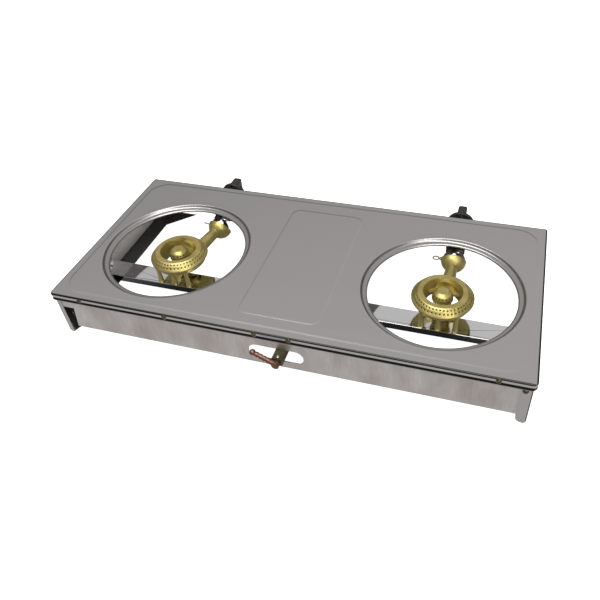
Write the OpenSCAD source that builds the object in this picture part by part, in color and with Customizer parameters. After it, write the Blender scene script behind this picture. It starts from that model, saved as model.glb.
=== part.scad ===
// Two-burner table stove, millimetres.
// Front with the knobs at -Y, gas inlet at +Y, +Z up, origin on the table under the plate's middle.

/* [Top plate] */
// Length of the plate from end to end
plate_length = 700; // [660:5:760]
// Depth of the plate from front to back
plate_depth = 320; // [310:2:360]
// Height of the plate's highest face above the table
plate_height = 82; // [80:1:100]
// Thickness of the plate's sheet
plate_sheet = 0.8; // [0.7:0.05:1]
// Height of the skirt folded down round the plate
skirt_height = 13; // [12:0.5:15]
// Corner radius of the plate at the back
rear_corner_radius = 8; // [6:0.5:12]
// Corner radius of the plate at the front
front_corner_radius = 3.5; // [3:0.5:6]
// Width of the lower margin round the raised field
margin_width = 13; // [10:0.5:16]
// Corner radius of the raised field
field_corner_radius = 32; // [24:1:40]
// Height of the raised field over the margin
field_raise = 0.5; // [0.3:0.05:0.6]
// Length along X of the raised panel between the openings
centre_panel_length = 120; // [100:2:130]
// Depth along Y of the raised panel between the openings
centre_panel_depth = 250; // [230:2:260]
// Corner radius of the raised panel
centre_panel_radius = 14; // [8:1:24]
// Height of the raised panel over the field
centre_panel_raise = 0.4; // [0.2:0.05:0.5]

/* [Openings] */
// Distance of each round opening's middle from the plate's end
opening_inset = 139.5; // [136:0.5:145]
// Distance of the openings behind the middle of the plate
opening_offset_y = 16.5; // [12:0.5:20]
// Radius where the drawn rim begins
rim_radius = 115.8; // [114:0.2:118]
// Radius of the clear hole inside the rim
hole_radius = 106.6; // [104:0.2:109]
// Depth of the rim's step
rim_step = 3.8; // [2.5:0.1:5]
// Depth of the rim's turned lip below the step
lip_depth = 3.4; // [2.5:0.1:4.5]
// Distance from the rim to the outside of the shallow bead round it
bead_reach = 5.6; // [4:0.2:8]
// Height of the shallow bead
bead_height = 0.35; // [0.2:0.05:0.6]

/* [Panels and legs] */
// Thickness of the body panels' sheet
panel_sheet = 0.8; // [0.7:0.05:1]
// Height of the panels' lower edge above the table
panel_clearance = 15; // [13:0.5:20]
// Height of the front panel's lower edge above the table
front_clearance = 21; // [18:0.5:23]
// Width of the flange turned in along the back panel
panel_flange = 10; // [8:0.5:14]
// Width of the flange turned in along the end panels
end_flange = 29; // [24:1:34]
// Width of the same flange along the right end panel
right_end_flange = 17; // [15:1:20]
// Side of the triangular gusset in each front corner of the end flanges
gusset_side = 42; // [34:1:50]
// Thickness of the legs' sheet
leg_sheet = 1; // [0.9:0.05:1.2]
// Width of each leg's wide face at its top
leg_wide = 17; // [16:0.5:20]
// Width of each leg's wide face at its foot
leg_wide_foot = 15; // [14:0.5:16]
// Width of each leg's narrow face
leg_narrow = 10; // [9.5:0.5:12]
// Depth of the flange turned in from the narrow face of the leg beside the notch
leg_return = 17; // [14:1:18]
// Bend radius of each leg's outer corner
leg_bend = 5; // [4:0.5:6]
// Length of the cut-away corner of the front and back panels
notch_length = 23.5; // [20:0.5:28]
// Height of the cut-away corner's top below the plate
notch_drop = 28; // [26:0.5:32]
// Length of the slot for the gas inlet
slot_length = 81; // [76:1:90]
// Height of the slot for the gas inlet
slot_height = 24; // [22:0.5:26]
// Offset of the slot along X
slot_offset_x = -5; // [-8:0.5:-2]
// Distance of the slot's middle below the plate's top
slot_drop = 42.6; // [40:0.5:45]

/* [Burner rail] */
// Distance of the rail's top below the plate's top
rail_drop = 50; // [48:0.5:52]
// Width of the rail along Y
rail_width = 33.5; // [32:0.5:38]
// Distance from the burner centres back to the rail's rear edge
rail_rear_reach = 36.5; // [36:0.5:39]
// Height of the rail's flanges
rail_flange = 11.5; // [10:0.5:16]
// Thickness of the rail's sheet
rail_sheet = 1; // [0.8:0.1:1.2]
// Height of the tabs that join the rail to the end panels
rail_tab = 12; // [11:0.5:14]

/* [Burners] */
// Distance of the ring's flat top below the plate's top
ring_drop = 4.6; // [4:0.1:7]
// Largest radius of the ring cover
ring_radius = 45.3; // [44:0.1:47]
// Outer radius of the ring's flat top
ring_flat_outer = 35.1; // [34.5:0.1:36]
// Inner radius of the ring's flat top
ring_flat_inner = 28.5; // [28:0.1:30]
// Height of the ring cover
cover_height = 11.6; // [11.2:0.1:12.5]
// Wall of the burner castings
cast_wall = 2.2; // [2:0.1:2.6]
// Ports in each of the ring's two rows
ring_ports = 46; // [36:1:50]
// Radius of the ring's ports
ring_port_radius = 1.15; // [0.9:0.05:1.25]
// Radius of the centre cap
cap_radius = 15.3; // [14.5:0.1:16]
// Ports in the centre cap
cap_ports = 18; // [12:1:20]
// Radius of the centre cap's ports
cap_port_radius = 1; // [0.7:0.05:1.05]
// Distance of the mixing tubes' axis below the plate's top
gas_drop = 37; // [36:0.5:38]
// Distance of the bells' middle from the plate's front edge
bell_setback = 67.5; // [64:0.5:68]
// Outer radius of the bell
bell_radius = 20; // [19:0.25:20.25]
// Radius of the mixing tube next to the bell
tube_neck_radius = 8.5; // [8:0.1:9.5]
// Radius of the mixing tube under the ring
tube_ring_radius = 11.8; // [11:0.1:12]
// Angle of the left burner's tube from straight ahead
left_turn = 10; // [8:0.5:11]
// Angle of the right burner's tube from straight ahead
right_turn = 1; // [0:0.5:3]
// Radius of a burner post at its middle
post_radius = 3; // [2.8:0.1:3.6]
// Radius of a burner post at its foot
post_foot_radius = 4.4; // [4:0.1:4.6]
// Sideways distance between the burner posts
post_spacing = 24.5; // [22:0.5:26]
// Distance of the posts behind the burner's centre
post_reach = 31; // [30:0.25:31.5]

/* [Air dampers] */
// Radius of the flap inside the bell
flap_radius = 17.8; // [16:0.1:17.9]
// Radius of the damper's wire
wire_radius = 0.9; // [0.8:0.05:1]
// Length of the wire's loop outside the bell
loop_length = 9.5; // [9:0.5:14]
// Width of the wire's loop
loop_width = 7.6; // [6:0.2:8.4]
// Width of the flap's slot in front of the injector
flap_slot = 13; // [11:0.5:15]
// Rise of the left flap's front half above level, as it stands
left_flap_rise = 75; // [60:1:90]
// Rise of the right flap's front half above level, as it stands
right_flap_rise = 49; // [40:1:60]
// Angle that the bell's mouth looks up by
mouth_angle = 25; // [20:1:27]

/* [Taps and knobs] */
// Distance of the left tap inside its opening's middle
left_tap_inset = 10.5; // [8:0.5:13]
// Distance of the right tap outside its opening's middle
right_tap_outset = 2.5; // [0:0.5:4]
// Distance of the knobs' axis below the plate's top
spindle_drop = 25; // [24:0.5:26]
// Radius of the spindles
spindle_radius = 3; // [2.8:0.1:3.2]
// Distance that a knob is pushed in
knob_push = 3; // [2:0.25:3]
// Radius of the knob's skirt
knob_radius = 23; // [22:0.5:23.5]
// Depth of the knob's skirt
knob_skirt_depth = 12; // [11:0.5:14]
// Width of the knob's grip
grip_width = 15; // [12:0.5:16]
// Half of the length of the knob's grip
grip_reach = 20.5; // [16:0.5:20.5]
// Distance that the grip stands out from the skirt
grip_depth = 17; // [14:0.5:19]
// Radius of the dished boss in the front panel
boss_radius = 11.6; // [11:0.1:11.8]
// Depth of the dished boss
boss_depth = 9; // [7.5:0.25:10]

/* [Gas pipes and inlet] */
// Outer radius of the gas pipes
pipe_radius = 5; // [4.8:0.1:5.2]
// Wall of the gas pipes
pipe_wall = 1; // [0.8:0.1:1.2]
// Place of the inlet along X
inlet_x = -13.5; // [-16:0.5:-12]
// Width of the inlet block
inlet_block_width = 14.5; // [14:0.25:15.5]
// Height of the inlet block
inlet_block_height = 12; // [11.5:0.25:13]
// Distance of the inlet block's end behind the back panel
inlet_block_reach = 17; // [14:0.5:20]
// Radius of the nozzle's hub
nozzle_hub_radius = 5.4; // [5.2:0.1:6.6]
// Length of the nozzle from the hub's axis to its tip
nozzle_length = 40; // [38:0.5:42]
// Radius of the nozzle between its barbs
nozzle_radius = 2.9; // [2.8:0.1:3.4]
// Radius of the nozzle's barbs
barb_radius = 4.1; // [3.8:0.1:4.4]
// Angle of the nozzle above level
nozzle_rise = 27; // [20:1:30]

/* [Hidden] */
$fn = 64;

// Clearances: cutting overrun, lap of joined stretches, running fit, easy fit and face gap
overrun = 1;
lap = 0.3;
running_fit = 0.05;
easy_fit = 0.1;
face_gap = 0.1;

// Places along X that follow the openings
opening_offset_x = plate_length / 2 - opening_inset;
left_tap_x = opening_offset_x - left_tap_inset;
right_tap_x = -opening_offset_x - right_tap_outset;
right_burner_shift = 2;
bell_reach = plate_depth / 2 + opening_offset_y - bell_setback;

// Levels of the plate's pressed steps, worked down from its highest face
field_top = plate_height - centre_panel_raise;
margin_top = field_top - field_raise;
plate_underside = margin_top - plate_sheet;
skirt_bottom = plate_height - skirt_height;

// Groove and hem of the skirt
groove_depth = 1.6;
groove_from = 6.2;
groove_to = 10.9;
hem_width = 2.6;
hem_stop = 3;
smallest_corner = 0.5;

// Drawn rim of an opening
rim_wall_run = 2.2;
shelf_fall = 0.8;
lip_radius = 1.6;
bead_gap = 1.4;
bead_slope = 1.2;

// Body inside the skirt
body_inset = hem_width + face_gap;
end_inset = 3.4;
body_x = plate_length / 2 - end_inset;
body_y = plate_depth / 2 - body_inset;
panel_x = body_x - leg_sheet - panel_sheet;
panel_y = body_y - leg_sheet - panel_sheet;
panel_face_y = body_y - leg_sheet;
panel_rise = plate_underside - panel_clearance;
notch_top = plate_height - notch_drop;
notch_lean = 6;
flange_end_x = panel_x - end_flange;

// Bends and rounded tips of a leg
panel_end_x = body_x - leg_bend;
panel_end_y = body_y - leg_bend;
leg_foot_radius = 4;
leg_return_angle = 19;
leg_return_clearance = 3;
leg_free_radius = 9;
narrow_free_radius = 5;
leg_screw_inset = 10;
leg_screw_drop = 17.5;

// Screws: shank, head radius and head height, by size
small_shank = 1.5;
small_head = 2.5;
small_head_height = 1.5;
large_shank = 2;
large_head = 3.9;
large_head_height = 2;
screw_length = 8;
skirt_screw_drop = 5.4;
skirt_screw_shares = [0.426, 0.226, 0.031, -0.04, -0.433];

// Rail
rail_top = plate_height - rail_drop;
rail_rear_y = opening_offset_y + rail_rear_reach;
rail_front_y = rail_rear_y - rail_width;
rail_middle_y = (rail_rear_y + rail_front_y) / 2;
rail_screw_spacing = 16;

// Levels of a burner
ring_top = plate_height - ring_drop;
cover_seat = ring_top - cover_height;
bowl_depth = 14.4;
bowl_bottom = cover_seat - bowl_depth;
gas_level = plate_height - gas_drop;
ring_shoulder_shares = [0, 0.06, 0.336, 0.716, 0.853, 1];
ring_reach_shares = [0, 0.14, 0.49, 0.855, 1, 1];
cover_inner_lean = 2.6;
cover_roof = 2.6;
cover_bowl_step = 3;
bowl_foot_radius = 32.5;
bowl_belly_radius = 40.5;
bowl_belly_share = 0.6;
bowl_floor = 2;
web_edge = 12.6;
web_thickness = 3.4;
web_drop = 15;
nose_reach = 21;
rib_width = 9;
arch_radius = 13;
arch_top_drop = 0.9;
cap_top_radius = 8;
cap_rise = 0.7;
cap_height = 12;
cap_shoulder_radius = 13;
cap_shoulder_drop = 3.6;
cap_belly_drop = 8.6;
cap_wall = 1.8;
hub_radius = 13.6;
hub_foot_radius = 9;
hub_depth = 5;
tube_bore_neck = tube_neck_radius - cast_wall;
tube_bore_ring = tube_ring_radius - cast_wall;
tube_end_reach = 16;
riser_reach = 29;
post_top = cover_seat - 3 * lap;
post_waist_share = 0.5;
bell_wall = 1.7;
mouth_lead = 0.5;
axle_boss_radius = 2.6;
axle_boss_length = 2;

// Air damper
flap_thickness = 0.7;
flap_sleeve_radius = 1.7;
flap_sleeve_length = 18;
flap_slot_back = 2.3;
bell_inner = bell_radius - bell_wall;
wire_end = bell_radius + axle_boss_length;
left_loop_turn = 42;

// Tap, working back from the inner face of the front panel
spindle_level = plate_height - spindle_drop;
front_face_y = -panel_face_y;
front_inner_y = -panel_y;
boss_face_y = front_face_y - boss_depth;
boss_face_radius = 10.6;
boss_hole_radius = spindle_radius + 2.4;
saddle_half_width = 15;
saddle_setback = 10.5;
saddle_front_y = front_inner_y + saddle_setback;
saddle_length = 24;
saddle_rear_y = saddle_front_y + saddle_length;
saddle_height = 14;
tap_barrel_radius = 9;
barrel_setback = 2.5;
barrel_length = 28.5;
tap_barrel_front = front_inner_y + barrel_setback;
tap_barrel_rear = tap_barrel_front + barrel_length;
plug_radius = 5.4;
plug_setback = 2;
plug_front_y = tap_barrel_front + plug_setback;
plug_length = 25;
plug_bore_depth = 9.5;
plug_port_radius = 1.5;
tap_way_radius = 2;
tap_boss_radius = 6;
tap_boss_offset = 7.5;
tap_boss_reach = 8;
manifold_setback = 8;
outlet_setback = 4;
manifold_y = saddle_front_y + manifold_setback;
outlet_y = saddle_rear_y - outlet_setback;
cap_reach = 8;
cap_nut_radius = 8.5;
cap_pocket_radius = 6;
cap_pocket_depth = 6;
collar_radius = 5;
collar_depth = 1.5;
spring_outer = 4.9;
spring_inner = 3.5;
spindle_inner_y = plug_front_y + plug_bore_depth - knob_push - face_gap - easy_fit;
collar_front_y = tap_barrel_front - cap_pocket_depth + 2 * face_gap;
flat_share = 0.7;

// Knob, working out from the bezel
bezel_thickness = 1.7;
bezel_outer = 10.4;
bezel_inner = 6.5;
knob_gap = 2;
knob_back_y = boss_face_y - bezel_thickness - knob_push - knob_gap;
knob_wall = 2;
knob_dome_radius = 15;
knob_rim_depth = 6;
knob_socket_radius = 6.5;
knob_socket_depth = 19;
knob_recess_depth = 7;
pointer_width = 1.6;
pointer_depth = 0.6;
grip_corner_radius = 3;

// Tap bracket
bracket_sheet = 1.5;
bracket_rise = 14;
bracket_screw_spacing = 20;

// Injector
injector_hex_radius = 6.6;
injector_hex_length = 6;
injector_body_radius = 4.6;
injector_tip_radius = 2.6;
injector_length = 12;
injector_offset = 6;
injector_bore = 1.6;
injector_jet = 0.5;
injector_jet_length = 2;
hexagon = 6;

// Pipes and inlet
manifold_overhang = 1.5;
tee_half_width = 11;
tee_length = 22;
union_nut_length = 12;
union_nut_radius = 8.2;
inlet_block_length = 44;
inlet_block_rear_y = panel_face_y + inlet_block_reach;
inlet_block_front_y = inlet_block_rear_y - inlet_block_length;
inlet_bore_radius = 3;
inlet_screw_inset = 4.6;
inlet_screw_length = 1.4;
nozzle_hub_length = 8;
nozzle_axis_share = 0.52;
nozzle_stub_radius = 4.2;
nozzle_stub_length = 8;
nozzle_bore_radius = 1.8;
nozzle_root_radius = 3.9;
nozzle_root_length = 5;
barb_count = 4;
barb_pitch = 5.6;
nozzle_ball_radius = 4.4;

sides = [-1, 1];

// A flat rounded rectangle centred on the origin, with its own corner radii at front and back
module rounded_outline(length, depth, front_radius, rear_radius) {
    translate([-length / 2, -depth / 2 + front_radius])
        square([length, depth - front_radius - rear_radius]);
    translate([-length / 2 + front_radius, -depth / 2])
        square([length - 2 * front_radius, front_radius + lap]);
    translate([-length / 2 + rear_radius, depth / 2 - rear_radius - lap])
        square([length - 2 * rear_radius, rear_radius + lap]);
    for (side = sides) {
        translate([side * (length / 2 - front_radius), -depth / 2 + front_radius])
            circle(front_radius);
        translate([side * (length / 2 - rear_radius), depth / 2 - rear_radius])
            circle(rear_radius);
    }
}

// The plate's outline drawn in by an inset
module plate_outline(inset) {
    rounded_outline(plate_length - 2 * inset, plate_depth - 2 * inset,
        max(front_corner_radius - inset, smallest_corner),
        max(rear_corner_radius - inset, smallest_corner));
}

module field_outline(extra) {
    rounded_outline(plate_length - 2 * margin_width + 2 * extra,
        plate_depth - 2 * margin_width + 2 * extra,
        field_corner_radius + extra, field_corner_radius + extra);
}

module centre_panel_outline(extra) {
    translate([0, opening_offset_y - margin_width])
        rounded_outline(centre_panel_length + 2 * extra, centre_panel_depth + 2 * extra,
            centre_panel_radius + extra, centre_panel_radius + extra);
}

// One ring of the skirt between two levels and two insets
module skirt_ring(bottom, top, outer_inset, inner_inset) {
    translate([0, 0, bottom])
        linear_extrude(top - bottom)
            difference() {
                plate_outline(outer_inset);
                plate_outline(inner_inset);
            }
}

module skirt() {
    skirt_ring(margin_top - groove_from, margin_top, 0, plate_sheet);
    skirt_ring(margin_top - groove_from, margin_top - groove_from + plate_sheet,
        0, groove_depth + plate_sheet);
    skirt_ring(margin_top - groove_to - lap, margin_top - groove_from + lap,
        groove_depth, groove_depth + plate_sheet);
    skirt_ring(margin_top - groove_to - plate_sheet, margin_top - groove_to,
        0, groove_depth + plate_sheet);
    skirt_ring(skirt_bottom, margin_top - groove_to, 0, plate_sheet);
    translate([0, 0, skirt_bottom])
        linear_extrude(plate_sheet)
            difference() {
                plate_outline(0);
                plate_outline(hem_width);
                for (x = sides, y = sides)
                    translate([x * plate_length / 2, y * plate_depth / 2])
                        square(2 * (leg_wide + hem_stop), center = true);
            }
}

// The drawn rim: flat, step wall, shelf and turned lip, then the same sheet back underneath
module drawn_rim() {
    shelf_outer = rim_radius - rim_wall_run;
    shelf_inner = hole_radius + lip_radius;
    shelf_level = -rim_step - shelf_fall;
    rotate_extrude()
        polygon([
            [rim_radius + plate_sheet + lap, 0],
            [rim_radius, 0],
            [shelf_outer, -rim_step],
            [shelf_inner, shelf_level],
            [hole_radius, shelf_level - lip_radius],
            [hole_radius, shelf_level - lip_depth],
            [hole_radius + plate_sheet, shelf_level - lip_depth],
            [hole_radius + plate_sheet, shelf_level - lip_radius],
            [shelf_inner, shelf_level - plate_sheet],
            [shelf_outer + plate_sheet, -rim_step - plate_sheet],
            [rim_radius + plate_sheet, -plate_sheet],
            [rim_radius + plate_sheet + lap, -plate_sheet]]);
}

// The shallow bead pressed up round the rim
module rim_bead() {
    rotate_extrude()
        polygon([
            [rim_radius + bead_gap, -plate_sheet / 2],
            [rim_radius + bead_gap, 0],
            [rim_radius + bead_gap + bead_slope, bead_height],
            [rim_radius + bead_reach - bead_slope, bead_height],
            [rim_radius + bead_reach, 0],
            [rim_radius + bead_reach, -plate_sheet / 2]]);
}

module top_plate() {
    color([0.66, 0.65, 0.65]) {
        difference() {
            union() {
                translate([0, 0, margin_top - plate_sheet])
                    linear_extrude(plate_sheet)
                        difference() {
                            plate_outline(0);
                            field_outline(0);
                        }
                translate([0, 0, field_top - plate_sheet])
                    linear_extrude(plate_sheet)
                        difference() {
                            field_outline(lap);
                            centre_panel_outline(0);
                        }
                translate([0, 0, plate_height - plate_sheet])
                    linear_extrude(plate_sheet)
                        centre_panel_outline(lap);
                skirt();
            }
            for (side = sides)
                translate([side * opening_offset_x, opening_offset_y, skirt_bottom])
                    cylinder(r = rim_radius, h = skirt_height + overrun);
            for (share = skirt_screw_shares)
                translate([share * plate_length, 0, plate_height - skirt_screw_drop])
                    rear_screw_cut(small_shank + easy_fit);
        }
        for (side = sides)
            translate([side * opening_offset_x, opening_offset_y, field_top]) {
                drawn_rim();
                rim_bead();
            }
    }
}

// A cut for a screw through the rear wall, from inside the body to past the skirt
module rear_screw_cut(radius) {
    translate([0, panel_y - overrun, 0])
        rotate([-90, 0, 0])
            cylinder(r = radius, h = plate_depth / 2 - panel_y + 2 * overrun);
}

// Blank of the front and back panels, outer face at Y zero, notch at +X
module long_panel_blank(clearance) {
    rotate([90, 0, 0])
        linear_extrude(panel_sheet)
            difference() {
                translate([-panel_end_x, clearance])
                    square([2 * panel_end_x, plate_underside - clearance]);
                translate([panel_end_x - notch_length, clearance - overrun])
                    polygon([[notch_lean, 0], [notch_length + overrun, 0],
                        [notch_length + overrun, notch_top - clearance + overrun],
                        [0, notch_top - clearance + overrun]]);
            }
}

module back_panel() {
    slot_half = slot_length / 2 - slot_height / 2;
    color([0.62, 0.60, 0.58])
        difference() {
            union() {
                translate([0, panel_face_y, 0])
                    long_panel_blank(panel_clearance);
                translate([-flange_end_x + face_gap, panel_y - panel_flange, panel_clearance])
                    cube([2 * (flange_end_x - face_gap), panel_flange + panel_sheet / 2,
                        panel_sheet]);
            }
            translate([slot_offset_x, panel_face_y + overrun, plate_height - slot_drop])
                rotate([90, 0, 0])
                    linear_extrude(panel_sheet + 2 * overrun) {
                        translate([-slot_half, -slot_height / 2])
                            square([2 * slot_half, slot_height]);
                        for (side = sides)
                            translate([side * slot_half, 0])
                                circle(slot_height / 2);
                    }
            for (share = skirt_screw_shares)
                translate([share * plate_length, 0, plate_height - skirt_screw_drop])
                    rear_screw_cut(small_shank + easy_fit);
            translate([-body_x + leg_screw_inset, 0, plate_height - leg_screw_drop])
                rear_screw_cut(large_shank + easy_fit);
        }
}

// A dished boss round a spindle, opening towards -Y
module dished_boss() {
    rotate([90, 0, 0])
        rotate_extrude()
            polygon([
                [boss_radius + lap, -panel_sheet],
                [boss_radius - panel_sheet, -panel_sheet],
                [boss_face_radius - panel_sheet, boss_depth - panel_sheet],
                [boss_hole_radius, boss_depth - panel_sheet],
                [boss_hole_radius, boss_depth],
                [boss_face_radius, boss_depth],
                [boss_radius, 0],
                [boss_radius + lap, 0]]);
}

module front_panel() {
    color([0.62, 0.61, 0.60]) {
        difference() {
            translate([0, front_face_y, 0])
                rotate([0, 0, 180])
                    long_panel_blank(front_clearance);
            for (x = [left_tap_x, right_tap_x])
                translate([x, front_face_y - overrun, spindle_level])
                    rotate([-90, 0, 0])
                        cylinder(r = boss_radius, h = panel_sheet + 2 * overrun);
            translate([body_x - leg_screw_inset, front_face_y - overrun,
                plate_height - leg_screw_drop])
                rotate([-90, 0, 0])
                    cylinder(r = large_shank + easy_fit, h = panel_sheet + 2 * overrun);
        }
        for (x = [left_tap_x, right_tap_x])
            translate([x, front_face_y, spindle_level])
                dished_boss();
    }
}

// An end panel for the +X end; the other end mirrors it but for screw holes and flange
module end_panel(leg_screw_side, flange) {
    flange_x = panel_x - flange;
    flange_rear_y = body_y - leg_return - leg_return_clearance;
    difference() {
        union() {
            translate([panel_x, -panel_end_y, panel_clearance])
                cube([panel_sheet, 2 * panel_end_y, panel_rise]);
            translate([flange_x, -panel_end_y, panel_clearance])
                cube([flange + panel_sheet / 2, flange_rear_y + panel_end_y, panel_sheet]);
            translate([flange_x + lap, -panel_end_y, panel_clearance])
                linear_extrude(panel_sheet)
                    polygon([[0, 0], [-gusset_side, 0], [0, gusset_side]]);
        }
        translate([panel_x - overrun, leg_screw_side * (body_y - leg_screw_inset),
            plate_height - leg_screw_drop])
            rotate([0, 90, 0])
                cylinder(r = large_shank + easy_fit, h = panel_sheet + 2 * overrun);
        for (side = sides)
            translate([panel_x - overrun, rail_middle_y + side * rail_screw_spacing / 2,
                rail_top + rail_tab / 2])
                rotate([0, 90, 0])
                    cylinder(r = small_shank + easy_fit, h = panel_sheet + 2 * overrun);
    }
}

module left_end_panel() {
    color([0.58, 0.57, 0.56])
        end_panel(1, end_flange);
}

module right_end_panel() {
    color([0.58, 0.57, 0.56])
        mirror([1, 0, 0])
            end_panel(-1, right_end_flange);
}

// One face of a leg, drawn from its bend outwards, rounded at both lower corners
module leg_face(top_width, foot_width, bend_radius, free_radius) {
    lean = (top_width - foot_width) / plate_underside;
    difference() {
        polygon([[0, 0], [foot_width, 0], [top_width, plate_underside], [0, plate_underside]]);
        difference() {
            translate([-overrun, -overrun])
                square(bend_radius + overrun);
            translate([bend_radius, bend_radius])
                circle(bend_radius);
        }
        difference() {
            translate([foot_width - free_radius, -overrun])
                square([free_radius + lean * free_radius + overrun, free_radius + overrun]);
            translate([foot_width - free_radius, free_radius])
                circle(free_radius);
        }
    }
}

// The bent sheet of a leg seen from above, as one upright L with a round bend
module leg_section() {
    height = plate_underside;
    translate([leg_bend, -leg_sheet, 0])
        cube([leg_wide - leg_bend, leg_sheet, height]);
    translate([0, -leg_narrow, 0])
        cube([leg_sheet, leg_narrow - leg_bend, height]);
    intersection() {
        translate([leg_bend, -leg_bend, 0])
            difference() {
                cylinder(r = leg_bend, h = height);
                translate([0, 0, -overrun])
                    cylinder(r = leg_bend - leg_sheet, h = height + 2 * overrun);
            }
        translate([0, -leg_bend, 0])
            cube([leg_bend, leg_bend, height]);
    }
}

// A corner leg with its outer edge at the origin, wide face along +X, narrow along -Y
module corner_leg(narrow_radius) {
    difference() {
        intersection() {
            leg_section();
            union() {
                rotate([90, 0, 0])
                    linear_extrude(leg_bend)
                        leg_face(leg_wide, leg_wide_foot, leg_foot_radius, leg_free_radius);
                translate([leg_bend, 0, 0])
                    rotate([90, 0, -90])
                        linear_extrude(leg_bend)
                            difference() {
                                leg_face(leg_narrow, leg_narrow, smallest_corner,
                                    narrow_radius);
                                square([leg_bend - lap, plate_height]);
                            }
            }
        }
        translate([leg_screw_inset, overrun, plate_height - leg_screw_drop])
            rotate([90, 0, 0])
                cylinder(r = large_shank + easy_fit, h = leg_sheet + 2 * overrun);
    }
}

// The flange turned in from the free edge of a leg's narrow face
module leg_return_flange() {
    translate([0, -leg_narrow, 0])
        rotate([0, 0, -leg_return_angle])
            cube([leg_return, leg_sheet, notch_top - face_gap]);
}

// Places of the four corners: side along X, side along Y and turn about Z
module at_corner(side_x, side_y, turn) {
    translate([side_x * body_x, side_y * body_y, 0])
        rotate([0, 0, turn])
            children();
}

module rear_right_leg() {
    color([0.68, 0.67, 0.66])
        at_corner(-1, 1, 0)
            corner_leg(narrow_free_radius);
}

module rear_left_leg() {
    color([0.68, 0.67, 0.66])
        at_corner(1, 1, -90) {
            corner_leg(smallest_corner);
            leg_return_flange();
        }
}

module front_left_leg() {
    color([0.68, 0.67, 0.66])
        at_corner(1, -1, 180)
            corner_leg(narrow_free_radius);
}

module front_right_leg() {
    color([0.68, 0.67, 0.66])
        at_corner(-1, -1, 90)
            corner_leg(narrow_free_radius);
}

// A pan-head screw along -Z with the underside of its head at Z zero
module pan_screw(shank, head, head_height, length) {
    difference() {
        union() {
            translate([0, 0, -length])
                cylinder(r = shank, h = length + lap);
            cylinder(r = head, h = head_height / 2);
            translate([0, 0, head_height / 2])
                cylinder(r1 = head, r2 = head - head_height / 2, h = head_height / 2);
        }
        for (turn = [0, 90])
            rotate([0, 0, turn])
                translate([-head / 2, -head_height / 4, head_height / 2])
                    cube([head, head_height / 2, head_height]);
    }
}

module leg_screws() {
    color([0.72, 0.62, 0.36])
        for (corner = [[-1, 1, 0], [1, 1, -90], [1, -1, 180], [-1, -1, 90]])
            at_corner(corner[0], corner[1], corner[2])
                translate([leg_screw_inset, 0, plate_height - leg_screw_drop])
                    rotate([-90, 0, 0])
                        pan_screw(large_shank, large_head, large_head_height, screw_length);
}

module skirt_screws() {
    color([0.70, 0.63, 0.42])
        for (share = skirt_screw_shares)
            translate([share * plate_length, plate_depth / 2, plate_height - skirt_screw_drop])
                rotate([-90, 0, 0])
                    pan_screw(small_shank, small_head, small_head_height, screw_length);
}

module burner_rail() {
    tab_width = rail_width - 2 * rail_sheet;
    color([0.80, 0.80, 0.82])
        difference() {
            union() {
                translate([-panel_x, rail_front_y, rail_top - rail_sheet])
                    cube([2 * panel_x, rail_width, rail_sheet]);
                for (y = [rail_front_y, rail_rear_y - rail_sheet])
                    translate([-panel_x, y, rail_top - rail_flange])
                        cube([2 * panel_x, rail_sheet, rail_flange]);
                for (side = sides)
                    translate([side * (panel_x - rail_sheet / 2) - rail_sheet / 2,
                        rail_middle_y - tab_width / 2, rail_top - lap])
                        cube([rail_sheet, tab_width, rail_tab + lap]);
            }
            for (side = sides, spread = sides)
                translate([side * panel_x, rail_middle_y + spread * rail_screw_spacing / 2,
                    rail_top + rail_tab / 2])
                    rotate([0, 90, 0])
                        cylinder(r = small_shank + easy_fit, h = 2 * rail_sheet + overrun,
                            center = true);
            for (side = sides, post = sides)
                translate([burner_x(side) + post * post_spacing,
                    opening_offset_y + post_reach, rail_top - rail_sheet - overrun])
                    cylinder(r = small_shank + easy_fit, h = rail_sheet + 2 * overrun);
        }
}

module rail_screws() {
    color([0.72, 0.70, 0.66])
        for (side = sides, spread = sides)
            translate([side * (panel_x + panel_sheet),
                rail_middle_y + spread * rail_screw_spacing / 2, rail_top + rail_tab / 2])
                rotate([0, side * 90, 0])
                    pan_screw(small_shank, small_head, small_head_height, screw_length);
}

// Outline of the ring cover's outer shoulder, from the flat top out and down to the seat
function ring_shoulder() = [for (i = [0:len(ring_reach_shares) - 1])
    [ring_flat_outer + ring_reach_shares[i] * (ring_radius - ring_flat_outer),
     ring_top - ring_shoulder_shares[i] * cover_height]];

// A row of ports drilled square to the shoulder between two of its points
module shoulder_ports(first, second) {
    mid = (first + second) / 2;
    fall = atan2(first[1] - second[1], second[0] - first[0]);
    for (i = [0:ring_ports - 1])
        rotate([0, 0, i * 360 / ring_ports])
            translate([mid[0], 0, mid[1]])
                rotate([0, fall, 0])
                    cylinder(r = ring_port_radius, h = 2 * cast_wall + overrun, center = true);
}

module ring_cover() {
    shoulder = ring_shoulder();
    inner_foot = ring_flat_inner - cover_inner_lean;
    difference() {
        rotate_extrude()
            polygon(concat(
                [[ring_flat_inner, ring_top]],
                shoulder,
                [[ring_radius - cast_wall, cover_seat],
                 [shoulder[3][0] - cast_wall, shoulder[3][1]],
                 [ring_flat_outer, ring_top - cover_roof],
                 [ring_flat_inner + cast_wall / 2, ring_top - cover_roof],
                 [inner_foot + cast_wall, cover_seat],
                 [inner_foot, cover_seat]]));
        shoulder_ports(shoulder[1], shoulder[2]);
        shoulder_ports(shoulder[2], shoulder[3]);
    }
}

module left_ring_cover() {
    color([0.72, 0.60, 0.25])
        at_burner(1)
            ring_cover();
}

module right_ring_cover() {
    color([0.72, 0.60, 0.25])
        at_burner(-1)
            ring_cover();
}

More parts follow.
